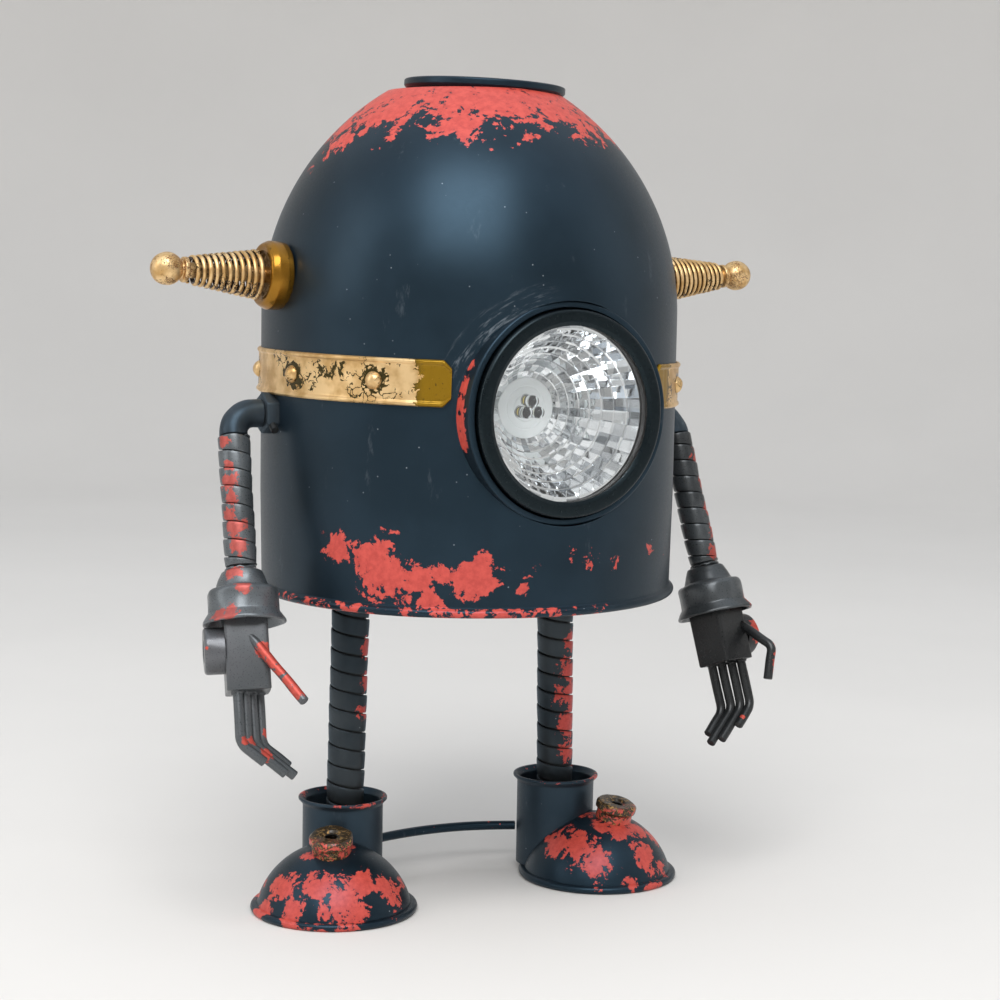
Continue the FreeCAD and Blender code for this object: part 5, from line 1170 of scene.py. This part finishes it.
NUT_FLATS = 15.0
NUT_BACK = 87.0
NUT_FACE = 93.4
ELBOW_X = 105.8
ELBOW_RADIUS = 5.8
ELBOW_BEND = 9.5
ARM_FORWARD = math.tan(math.radians(19.6))
ARM_SPLAY = math.tan(math.radians(4.1))
SLEEVE_START = 10.0
ARM_STRIP = {"pitch": 7.4, "outer": 6.5, "thick": 1.1, "gap": 0.5, "lift": 0.35}
WRIST_START = {"left": 65.5, "right": 71.0}
WRIST_GAP = 1.5
BELL_LENGTH = 22.0
BELL_OUTLINE = ((5.1, -2.4), (6.85, -6.4), (13.0, -9.5, 0.8), (13.0, -18.4, 1.2), (15.6, -22.0, 0.2),
                (16.8, -22.0, 0.45), (16.6, -20.9, 0.5), (14.3, -17.4, 1.5), (14.2, -8.0, 2.2),
                (10.6, -7.2, 1.2), (9.3, -3.4, 2.2), (8.0, -0.5, 1.2), (6.1, 0.0, 0.3), (5.1, 0.0))
PALM_TOP = 9.8
PALM_END = 115.0
PALM_WIDTH = 17.5
PALM_TURN = math.radians(16.8)
BUSH_RADIUS = 9.4
BUSH_DROP = 10.2
BUSH_OUTLINE = ((2.2, 0), (BUSH_RADIUS, 0), (BUSH_RADIUS, 8.0, 1.3), (4.6, 8.0, 0.5), (4.2, 7.6, 0.3),
                (2.6, 7.6, 0.3), (2.2, 7.2))
ROD_RADIUS = 2.0
FINGER_PITCH = 4.3
FINGER_ROW = math.radians(-28.2)
FINGER_LENGTH = 20.5
FINGER_BEND = 7.0
FINGER_LOWER = (15.5, 1.4, 13.2)
# Place in the row, and length of the lower part as a share
FINGERS = ((-1.5, 0.68), (-0.5, 1.0), (0.5, 0.95), (1.5, 0.6))
THUMB = 4
THUMB_DROP = 5.9
THUMB_BEND = 4.5
THUMB_ACROSS = {"left": 1.4, "right": 6.5}
THUMB_STEPS = {
    "left": ((-7.2, 8.7, 14.6), (-7.2, 8.7, 14.6)),
    "right": ((5.0, 13.7, 13.5), (-4.3, -2.5, 14.0)),
}
# Where red shows on the arms: distance down, degrees round from the front toward the outside, radius, reach
ARM_SPOTS = {
    "left": ((13, 60, 6, 4), (23, 45, 6, 3.5), (30, 50, 6, 5), (37, 40, 6, 4.5), (43, 55, 6, 4.5),
             (49, 38, 6, 6), (56, 30, 6, 5.5), (68, 40, 8, 4.5), (75, 20, 14, 4.5), (85, 60, 16, 5),
             (85, 40, 16, 5)),
    "right": ((22, 62, 6, 6), (34, 55, 6, 5), (45, 60, 6, 6), (56, 60, 6, 6), (66, 30, 6, 5),
              (90, 50, 16, 6)),
}
# The same on the rods: which rod, share of its length, offset from its centre line, reach
HAND_SPOTS = {
    "left": [(THUMB, share, (0, 0, 1.6), 5.5) for share in (0.3, 0.45, 0.6, 0.75, 0.9)]
    + [(finger, share, (1.2, -1.2, 0), reach)
       for finger, share, reach in ((0, 0.45, 3.0), (2, 0.5, 3.0), (2, 0.7, 4.5), (3, 0.6, 3.0))],
    "right": [(THUMB, share, (1.8, 0, 0.6), 3.2) for share in (0.58, 0.7, 0.82, 0.94)]
    + [(3, 0.85, (-1.2, -1.2, 0), 1.8)],
}
BUSH_SPOT_REACH = {"left": 1.0, "right": 7.0}


def arm_way(side):
    """Down along the arm."""
    return unit(np.array([side * ARM_SPLAY, -ARM_FORWARD, -1.0]))


def arm_axes(side):
    """Rows are the arm's own X, Y and Z: Z up along the arm, X as near as can be to the body's X."""
    up = -arm_way(side)
    across = unit(np.array([1.0, 0, 0]) - up * up[0])
    return np.array([across, np.cross(up, across), up])


def arm_origin(name, side):
    """The elbow's corner, level with the shoulder joint."""
    return np.array([side * ELBOW_X, *joint_places["shoulder_" + name][1:]])


def hexagon(flats, corner):
    """A hexagon with rounded corners, of one width over its flats."""
    radius = flats / math.sqrt(3)
    angles = np.radians(60 + 60 * np.arange(6))
    return dense(rounded([(radius * math.cos(a), radius * math.sin(a), corner) for a in angles]), 1.5)


def grey_paint(name, spots, tones, tint=1.0, strength=0.55):
    """Thin grey paint over metal with dark specks."""
    return painted(name, *tones, spots, gloss=(0.26, 0.38), flake_scale=170.0, strength=strength, tint=tint,
                   metal=0.45, specks=(0.12, 0.25), speck_colour=DARK_SPECK, sheen=PLAIN_SHEEN)


def arm_field(name, side):
    """Field of the red spots on sleeve and wrist."""
    spots = []
    for distance, angle, radius, reach in ARM_SPOTS[name]:
        turn = math.radians(angle)
        local = np.array([side * radius * math.sin(turn), -radius * math.cos(turn), -distance])
        spots.append((arm_origin(name, side) + local @ arm_axes(side), reach))
    return spots_field(spots)


def hand_field(name, side):
    """Red along the thumb and in a few dabs on the fingers."""
    spots = []
    for index, share, offset, reach in HAND_SPOTS[name]:
        path = finger_paths(name, side)[index][0]
        point = path[int(share * (len(path) - 1))] + np.array(offset)
        spots.append((arm_origin(name, side) + point @ arm_axes(side), reach))
    return spots_field(spots)


def finger_row(side):
    """One finger pitch along the row of fingers, outward."""
    return np.array([side * math.cos(FINGER_ROW), math.sin(FINGER_ROW), 0.0]) * FINGER_PITCH


def finger_paths(name, side):
    """Centre lines of fingers and thumb in the arm's frame, each with the line square to its plane."""
    paths = []
    out, forward, drop = FINGER_LOWER
    for place, share in FINGERS:
        start = finger_row(side) * place - UP * (PALM_END - 0.1)
        knuckle = finger_row(side) * place - UP * (PALM_END + FINGER_LENGTH)
        tip = knuckle + np.array([-side * out, -forward, -drop]) * share
        paths.append((route([start, knuckle, tip], FINGER_BEND), np.cross(-UP, tip - knuckle)))
    palm = turned_axes(side * PALM_TURN, np.eye(3))
    thumb = [np.array([THUMB_ACROSS[name], -PALM_WIDTH / 2 + ROD_RADIUS, 0]) @ palm
             - UP * (WRIST_START[name] + BELL_LENGTH + THUMB_DROP)]
    for out, forward, drop in THUMB_STEPS[name]:
        thumb.append(thumb[-1] + np.array([side * out, -forward, -drop]))
    first, last = thumb[1] - thumb[0], thumb[2] - thumb[1]
    bent = np.linalg.norm(np.cross(first, last)) > 5.0
    corners = thumb if bent else [thumb[0], thumb[2]]
    paths.append((route(corners, THUMB_BEND), np.cross(first, last if bent else UP)))
    return paths


def shoulder_pieces(name, side):
    """The nut on the body, and the elbow: a bent bar from the nut's face down into the sleeve."""
    black = painted("elbow_black_" + name, *ELBOW_BLACK, no_field, gloss=(0.34, 0.46), metal=0.25)
    origin, way = arm_origin(name, side), arm_way(side)
    nut = pillar(hexagon(NUT_FLATS, 1.0), NUT_BACK, NUT_FACE, 0.8, NUT_FLATS / 2)
    nut = uneven(placed(nut, (0, *origin[1:]), outward_axes(side)), amount=0.15, wave=8.0, seed=90)
    piece("shoulder_nut_" + name, [nut], black)

    path = route([(side * (NUT_FACE + 0.2), *origin[1:]), origin, origin + way * (SLEEVE_START - 0.3)],
                 ELBOW_BEND)
    bar = rod(path, ELBOW_RADIUS, np.cross([side, 0, 0], way), 0.5, 36, bore=(3.05, 7.7))
    piece("elbow_" + name, [uneven(bar, amount=0.25, wave=9.0, seed=31)], black)


def arm_pieces(name, side):
    """Shoulder, sleeve, wrist with its weld, palm, bush and rods of one arm."""
    origin, axes = arm_origin(name, side), arm_axes(side)
    wrist = WRIST_START[name]
    paint = grey_paint("arm_grey_" + name, arm_field(name, side), ARM_GREYS[name], tint=0.72)
    hand_paint = grey_paint("hand_grey_" + name, hand_field(name, side), HAND_GREYS[name], tint=0.9,
                            strength=0.75)
    shoulder_pieces(name, side)

    length = wrist - WRIST_GAP - SLEEVE_START
    sleeve = placed(strip_coil(length, **ARM_STRIP), -UP * (SLEEVE_START + length))
    sleeve = uneven(sleeve, amount=0.18, wave=14.0, seed=17)
    piece("arm_sleeve_" + name, [placed(sleeve, origin, axes)], paint)

    bell = placed(lathe(dense(rounded(BELL_OUTLINE), 1.2), 96), -UP * wrist)
    weld = placed(wire_coil(0.93, 6.0, 6.0, 0.4, 1.3), -UP * (wrist - 0.1))
    surfaces = [uneven(bell, amount=0.34, wave=9.0, seed=21), uneven(weld, amount=0.35, wave=3.0, seed=91)]
    piece("wrist_bell_" + name, [placed(surface, origin, axes) for surface in surfaces], paint)

    palm_axes = turned_axes(side * PALM_TURN, axes)
    half = PALM_WIDTH / 2
    block = pillar(dense(rectangle(half, half, 1.2), 1.5), -PALM_END, -wrist - PALM_TOP, 0.6, half)
    surfaces = [placed(uneven(block, amount=0.2, wave=12.0, seed=33), origin, palm_axes)]
    for index, (place, _) in enumerate(FINGERS):
        lump = blob(finger_row(side) * place - UP * PALM_END, (2.6, 2.6, 1.2))
        surfaces.append(placed(uneven(lump, amount=0.5, wave=2.5, seed=50 + index), origin, axes))
    piece("palm_block_" + name, surfaces, hand_paint)

    bush_axes = outward_axes(side) @ palm_axes
    bush_place = origin + np.array([side * half, 0, -wrist - BELL_LENGTH - BUSH_DROP]) @ palm_axes
    bush = uneven(lathe(dense(rounded(BUSH_OUTLINE), 1.5), 64), amount=0.15, wave=9.0, seed=23)
    spots = spots_field([(bush_place + np.array([0, -9, 7]) @ bush_axes, BUSH_SPOT_REACH[name])])
    piece("palm_bush_" + name, [placed(bush, bush_place, bush_axes)],
          grey_paint("bush_grey_" + name, spots, HAND_GREYS[name]))

    rods = [uneven(rod(path, ROD_RADIUS, cross, 0.3), amount=0.12, wave=12.0, seed=60 + index)
            for index, (path, cross) in enumerate(finger_paths(name, side))]
    piece("hand_rods_" + name, [placed(surface, origin, axes) for surface in rods], hand_paint)


# Legs and feet

ANKLE = (52.4, 10.0)
LEG_TOP = (49.7, 8.8)
LEG_LOW = 4.4
PLATE_HEIGHT = 137.0
LEG_STRIP = {"pitch": 8.2, "outer": 8.0, "thick": 1.1, "gap": 0.5, "lift": 0.3}
FOOT_TURN = math.radians(33.0)
FOOT_REACH = 21.8
BOWL_CURVE = 33.6
BOWL_HEIGHT = 28.0
BOWL_MIDDLE = BOWL_HEIGHT - BOWL_CURVE
BOWL_RIM = 33.5
BOWL_BEAD = 1.6
CUP_RADIUS = 17.2
CUP_LIP = 19.0
CUP_BASE = 3.0
CUP_TOP = 43.4
CUP_OUTLINE = ((0, CUP_BASE), (CUP_RADIUS, CUP_BASE), (CUP_RADIUS, CUP_TOP - 3.0, 1.6),
               (CUP_LIP, CUP_TOP - 1.1, 0.5), (CUP_LIP, CUP_TOP, 0.5), (CUP_LIP - 1.2, CUP_TOP, 0.4),
               (CUP_RADIUS - WALL, CUP_TOP - 2.2, 1.2), (CUP_RADIUS - WALL, CUP_BASE + WALL),
               (0, CUP_BASE + WALL))
TOE_OFFSET = 7.7
TOE_FOOT = 8.0
TOE_TOP = BOWL_CURVE + 7.2
TOE_HOLE = TOE_TOP - 2.6
TOE_SEAT = BOWL_CURVE * math.cos(math.asin(TOE_FOOT / BOWL_CURVE))
TOE_OUTLINE = ((2.5, BOWL_CURVE - 0.2), (TOE_FOOT, TOE_SEAT), (8.1, TOE_TOP - 4.4, 0.5),
               (9.1, TOE_TOP - 3.4, 0.6), (9.1, TOE_TOP - 1.0, 0.5), (8.2, TOE_TOP, 0.6), (4.0, TOE_TOP, 0.5),
               (3.3, TOE_TOP - 0.9, 0.4), (2.5, TOE_TOP - 1.1, 0.2))
BRACE_ENDS_BACK = 12.5
BRACE_MIDDLE_BACK = 30.0
BRACE_HEIGHT = 18.0
# Where red shows on the legs: height, degrees round from the front and reach
LEG_SPOTS = {
    "left": ((38, 60, 5), (52, 75, 6), (66, 70, 5), (90, 80, 4)),
    "right": ((12, 50, 8), (25, 55, 9), (38, 60, 10), (48, 65, 9), (62, 70, 7), (80, 60, 5), (100, 70, 4)),
}
# Where red shows on the bowls: millimetres across and up as seen from the camera's side, and reach
BOWL_SPOTS = {
    "left": ((-20, 14, 10), (-15, 8, 8), (-4, 17, 9), (5, 11, 9), (13, 18, 10), (22, 14, 9), (12, 7, 8),
             (-9, 25, 5), (26, 8, 7), (-28, 3, 7), (-16, 2, 6)),
    "right": ((-9, 19, 13), (-18, 18, 9), (-2, 12, 9), (8, 24, 9), (20, 13, 10), (26, 17, 8), (18, 22, 7),
              (28, 7, 6), (14, 3, 5), (2, 25, 7)),
}


def leg_frame(side):
    """Origin and axes of a leg: Z along it, reached by the least turn from upright."""
    low = np.array([side * ANKLE[0], ANKLE[1], LEG_LOW])
    high = np.array([side * LEG_TOP[0], LEG_TOP[1], PLATE_HEIGHT])
    way = unit(high - low)
    axis = np.cross(UP, way)
    sine, cosine = np.linalg.norm(axis), way[2]
    axis /= sine
    cross = np.array([[0, -axis[2], axis[1]], [axis[2], 0, -axis[0]], [-axis[1], axis[0], 0]])
    matrix = np.eye(3) + sine * cross + (1 - cosine) * cross @ cross
    return low, matrix.T, np.linalg.norm(high - low)


def ankle_centre(side):
    """The ankle's place on the floor."""
    return np.array([side * ANKLE[0], ANKLE[1], 0.0])


def foot_way(side):
    """The level line in which a foot points."""
    return np.array([side * math.sin(FOOT_TURN), -math.cos(FOOT_TURN), 0.0])


def foot_centre(side):
    """The bowl's middle on the floor."""
    return ankle_centre(side) + foot_way(side) * FOOT_REACH


def toe_axes(side):
    """The toe ring leans forward from the middle of the bowl's curve."""
    return leaning_axes(foot_way(side), math.asin(TOE_OFFSET / BOWL_CURVE))


def leg_field(name, side):
    """Field of the red spots on a leg."""
    origin, axes, _ = leg_frame(side)
    spots = []
    for height, angle, reach in LEG_SPOTS[name]:
        turn = math.radians(angle - 28)
        local = np.array([8 * math.sin(turn), -8 * math.cos(turn), height + 38.0])
        spots.append((origin + local @ axes, reach))
    return spots_field(spots)


def bowl_field(name, side, seed):
    """Red in spots on the side that is seen, and in drifts all round."""
    spots = []
    for across, up, reach in BOWL_SPOTS[name]:
        depth = math.sqrt(max(BOWL_CURVE ** 2 - across ** 2 - (up - BOWL_MIDDLE) ** 2, 1.0))
        spots.append((foot_centre(side) + SEEN_ACROSS * across + SEEN_TOWARD * depth + UP * up, reach))
    field, drifts = spots_field(spots), drift_field(seed)
    return lambda tree, vector: calc(tree, "MAXIMUM", field(tree, vector), drifts(tree, vector))


def cup_field(index):
    """A little red on the lip, more where a slow drift is high."""
    def field(tree, vector):
        lip = clamp_between(tree, split(tree, vector)["Z"], 0.0405, 0.0425, -0.6, 0.12)
        drift = noise(tree, shifted(tree, vector, (3.3 * index + 0.4, 0.1, 0.7)), 30.0, 2.0)
        return calc(tree, "ADD", lip, clamp_between(tree, drift, 0.4, 0.65, -0.4, 0.25))
    return field


def bowl_profile():
    """Down the outside of the bowl's curve, round the rim's roll and back up the inside."""
    outer, inner = (math.degrees(math.asin((BOWL_BEAD * 2 - BOWL_MIDDLE) / radius))
                    for radius in (BOWL_CURVE, BOWL_CURVE - WALL))
    return np.concatenate([
        arc((0, BOWL_MIDDLE), BOWL_CURVE, 90, outer, 40), arc((BOWL_RIM, BOWL_BEAD), BOWL_BEAD, 80, -170, 20),
        arc((0, BOWL_MIDDLE), BOWL_CURVE - WALL, inner, 90, 30)])


def foot_pieces(name, side, index):
    """Bowl, ankle cup and leg sleeve of one side."""
    centre, ankle = foot_centre(side), ankle_centre(side)
    black = painted("foot_black_" + name, BLACK, BLUE_BLACK, bowl_field(name, side, 1.7 + 2.1 * index),
                    gloss=(0.32, 0.44), flake_scale=110.0, strength=0.42)
    piece("foot_bowl_" + name, [placed(lathe(bowl_profile(), 144), centre)], black,
          cutters=[placed(drum(CUP_RADIUS, CUP_BASE, 60.0), ankle)])

    black = painted("cup_black_" + name, *CUP_BLACK, cup_field(index), gloss=(0.36, 0.48), flake_scale=130.0)
    cup = lathe(dense(rounded(CUP_OUTLINE), 2.0), 96)
    piece("ankle_cup_" + name, [placed(cup, ankle)], black)

    origin, axes, length = leg_frame(side)
    sleeve = placed(strip_coil(length - 0.6, **LEG_STRIP), (0, 0, 0.3))
    sleeve = uneven(sleeve, amount=0.12, wave=16.0, seed=27)
    grey = painted("leg_grey_" + name, *LEG_GREY, leg_field(name, side), gloss=(0.38, 0.52),
                   flake_scale=150.0, strength=0.5, metal=0.3)
    piece("leg_sleeve_" + name, [placed(sleeve, origin, axes)], grey)


def toe_pieces():
    """Both rings, turned about an axis that leans forward from the bowl's curve."""
    rings = []
    for index, (_, side) in enumerate(SIDES):
        ring = lathe(dense(rounded(TOE_OUTLINE), 1.0), 72)
        ring = uneven(ring, amount=0.25, wave=6.0, seed=44 + index)
        rings.append(placed(ring, foot_centre(side) + UP * BOWL_MIDDLE, toe_axes(side)))
    piece("toe_rings", rings, toe_finish())


def toe_finish():
    """Speckled gold and dark lacquer, with red on the ring's sides and painted shade in its hole: near black
    and without metal.
    """
    material, tree, shader, place = start_material("toe_leaf")
    gold = use(tree, leaf, Vector=place, Scale=420.0, Cover=0.30)
    red = use(tree, flakes, Vector=place, Field=0.47, Scale=170.0)
    low = clamp_between(tree, split(tree, place)["Z"], 0.0335, 0.0315)
    leafed = blend_colour(tree, gold["Mask"], blend_colour(tree, gold["Tone"], *TOE_LACQUER), TOE_GOLD)
    mask = calc(tree, "MULTIPLY", red["Mask"], low)
    centres = [foot_centre(side) + UP * BOWL_MIDDLE + toe_axes(side)[2] * TOE_HOLE for _, side in SIDES]
    # Painted shade: the hole and the wall inside it are coloured near black and lose their metal, for the
    # shade in the hole.
    hole = clamp_between(tree, spots_field([(centre, 3.6) for centre in centres])(tree, place), 0.0, 0.16)
    bare = calc(tree, "SUBTRACT", 1.0, calc(tree, "MAXIMUM", mask, hole))
    dress(tree, shader, {
        "Base Color": blend_colour(tree, hole, blend_colour(tree, mask, leafed, RED), HOLE_SHADE),
        "Metallic": calc(tree, "MULTIPLY", calc(tree, "MULTIPLY", gold["Mask"], bare), 0.85),
        "Roughness": blend_value(tree, gold["Mask"], 0.32, 0.42),
        "Normal": bump(tree, gold["Height"], 0.0002, 0.7)})
    return material


def brace_piece():
    """A rod bowed to the back between the ankle cups: an arc of a circle through its middle and both ends."""
    half, rise = ANKLE[0], BRACE_MIDDLE_BACK - BRACE_ENDS_BACK
    radius = (half ** 2 + rise ** 2) / (2 * rise)
    reach = math.degrees(math.asin(half / radius)) - math.degrees(CUP_RADIUS / radius) * 0.97
    flat = arc((0, BRACE_MIDDLE_BACK - radius), radius, 90 + reach, 90 - reach, 60)
    path = np.column_stack([flat, np.full(len(flat), BRACE_HEIGHT)])
    brace = uneven(rod(path, 2.0, UP, 0.2), amount=0.15, wave=20.0, seed=8)
    piece("heel_brace", [brace],
          painted("brace_black", BLACK, BLUE_BLACK, drift_field(6.3), (0.36, 0.46), flake_scale=120.0,
                  strength=0.25))


# Switch

SWITCH_CORNER = 0.8
# The frame's section: how far it grows over the body's outline, and how far it lies behind the face
SWITCH_SECTION = ((-1.2, -1.1), (0.0, -1.1), (0.0, 0.0, 0.5), (-2.6, 0.0, 0.25), (-2.6, -12.0), (-1.2, -12.0))
SWITCH_FLOOR = (-17.9, -11.9)


def switch_piece():
    """A frame whose section is carried round the outline, and the floor behind it."""
    low, high = switch_box()
    half_across, _, half_up = (high - low) / 2
    face, height = high[1], (low[2] + high[2]) / 2
    loops = []
    for grow, back in dense(rounded(SWITCH_SECTION), 3.0):
        across, up = rectangle(half_across + grow, half_up + grow, SWITCH_CORNER).T
        loops.append(np.column_stack([across, np.full(len(across), face + back), up + height]))
    floor = square_rod(half_across - 1.3, half_up - 1.3, *(face + back for back in SWITCH_FLOOR))
    piece("switch_body", [(np.stack(loops), True, True, False), placed(floor, (0, 0, height), BACK_AXES)],
          plain_finish("switch_plastic", (0.006, 0.006, 0.007, 1), (0.011, 0.011, 0.012, 1),
                                       (0.32, 0.45)))


# Every carried-over node gets a finish of its own: name, darker tone, lighter tone, gloss, metal, nodes

NODE_FINISHES = (
    ("zinc_steel", (0.30, 0.31, 0.31, 1), (0.42, 0.43, 0.43, 1), (0.32, 0.46), 0.9,
     ("base_screws", "leg_nuts", "shoulder_pin_left", "shoulder_pin_right")),
    ("dark_tube", (0.018, 0.020, 0.021, 1), (0.035, 0.038, 0.040, 1), (0.4, 0.55), 0.4,
     ("shoulder_screws", "arm_tube_left", "arm_tube_right", "leg_tube_left", "leg_tube_right")),
    ("seal_rubber_black", (0.010, 0.010, 0.010, 1), (0.018, 0.018, 0.018, 1), (0.6, 0.75), 0.0,
     ("lens_seal", "crown_seal")),
    ("housing_plastic", (0.007, 0.008, 0.009, 1), (0.013, 0.014, 0.015, 1), (0.4, 0.5), 0.0,
     ("lamp_housing", "battery_tray", "switch_rocker")),
    ("board_green_resist", (0.010, 0.075, 0.030, 1), (0.020, 0.110, 0.045, 1), (0.22, 0.35), 0.0,
     ("charge_board",)),
    ("cell_wrap_blue", (0.020, 0.060, 0.190, 1), (0.030, 0.085, 0.240, 1), (0.22, 0.32), 0.0,
     ("battery_cell",)),
    ("lead_jacket_red", (0.30, 0.020, 0.015, 1), (0.38, 0.030, 0.020, 1), (0.35, 0.5), 0.0, ("inner_leads",)),
)
PLATE_NODES = ("base_plate", "base_tabs", "foot_soles")


def finish_nodes():
    """Puts each finish on its nodes."""
    plate = painted("plate_black", BLACK, BLUE_BLACK, no_field, gloss=(0.42, 0.52))
    finishes = [(plate, PLATE_NODES)]
    finishes += [(plain_finish(*values), nodes) for *values, nodes in NODE_FINISHES]
    for material, nodes in finishes:
        for node in nodes:
            materials = frame["nodes"][node].data.materials
            for index in range(len(materials)):
                materials[index] = material


# Floor, light and camera

FLOOR = (0.76, 0.735, 0.705, 1.0)
FLOOR_REACH = 6.0
SWEEP_RADIUS = 1.6
SWEEP_BEND = 0.9
SWEEP_HEIGHT = 1.9
LOW_SKY = (0.34, 0.35, 0.36, 1)
HIGH_SKY = (0.92, 0.98, 1.05, 1)
SKY_STRENGTH = 0.9
# Lamps: name, place, width and height, power
LAMPS = (("key", (-0.55, -0.95, 1.45), (1.2, 1.1), 24.0), ("side", (-1.25, 0.15, 0.75), (0.5, 0.9), 3.0),
         ("fill", (1.2, -0.7, 0.8), (0.6, 0.9), 0.8))
LIT_PLACE = (0, 0, 0.2)
CAMERA_PLACE = (-0.4412, -0.8548, 0.2757)
CAMERA_LENS = 80.97
# Degrees: the camera's heading about Z, how far it looks down, and its roll
CAMERA_HEADING = -28.155
CAMERA_DOWN = 6.259
CAMERA_ROLL = 0.979


def stage_piece(name, mesh):
    """A pale matt piece of the stage."""
    material, tree, shader, place = start_material(name)
    tone = mottled(tree, noise(tree, place, 3.0, 5.0), 0.0, 1.0)
    darker = tuple(channel * 0.97 for channel in FLOOR[:3]) + (1,)
    dress(tree, shader, {"Base Color": blend_colour(tree, tone, darker, FLOOR), "Roughness": 0.85})
    mesh.materials.append(material)
    in_scene(name, mesh)


def set_stage():
    """Floor, and a backdrop all round: an arc and then a straight, turned about Z; sky paler overhead."""
    floor = bpy.data.meshes.new("floor")
    floor.from_pydata([(*corner, 0) for corner in rectangle(FLOOR_REACH, FLOOR_REACH)], [], [(0, 1, 2, 3)])
    stage_piece("floor", floor)
    bend = arc((SWEEP_RADIUS, SWEEP_BEND), SWEEP_BEND, -90, 0, 24)
    sweep = np.concatenate([bend, [(SWEEP_RADIUS + SWEEP_BEND, SWEEP_HEIGHT)]]) / MM
    stage_piece("backdrop", make_mesh("backdrop", [lathe(sweep, 144, closed=False)], 60))
    world = bpy.data.worlds.new("room")
    bpy.context.scene.world = world
    world.use_nodes = True
    tree = world.node_tree
    height = split(tree, add(tree, "ShaderNodeTexCoord").outputs["Generated"])["Z"]
    sky = blend_colour(tree, clamp_between(tree, height, 0.3, 0.95), LOW_SKY, HIGH_SKY)
    dress(tree, tree.nodes["Background"], {"Color": sky, "Strength": SKY_STRENGTH})


def set_light():
    """Lamps that face the object's middle."""
    for name, place, size, power in LAMPS:
        data = bpy.data.lights.new(name, "AREA")
        data.shape = "RECTANGLE"
        data.size, data.size_y = size
        data.energy = power
        lamp = in_scene(name, data)
        away = np.array(place, float) - np.array(LIT_PLACE, float)
        lamp.location = place
        lamp.rotation_euler = Vector(away).to_track_quat("Z", "Y").to_euler()


def set_camera():
    """The camera, aimed by its heading, tilt and roll."""
    data = bpy.data.cameras.new("camera")
    data.lens, data.sensor_width = CAMERA_LENS, 36.0
    camera = in_scene("camera", data)
    camera.location = CAMERA_PLACE
    heading, pitch, roll = (Matrix.Rotation(math.radians(angle), 4, axis) for angle, axis in (
        (CAMERA_HEADING, "Z"), (90 - CAMERA_DOWN, "X"), (CAMERA_ROLL, "Z")))
    camera.rotation_euler = (heading @ pitch @ roll).to_euler()
    bpy.context.scene.camera = camera


body_pieces()
crown_pieces()
belt_pieces()
eye_pieces()
for side_index, (side_name, side_sign) in enumerate(SIDES):
    ear_pieces(side_name, side_sign, side_index)
for side_name, side_sign in SIDES:
    arm_pieces(side_name, side_sign)
for side_index, (side_name, side_sign) in enumerate(SIDES):
    foot_pieces(side_name, side_sign, side_index)
toe_pieces()
brace_piece()
switch_piece()
finish_nodes()
set_stage()
set_light()
set_camera()
bpy.context.scene.view_settings.view_transform = "Standard"
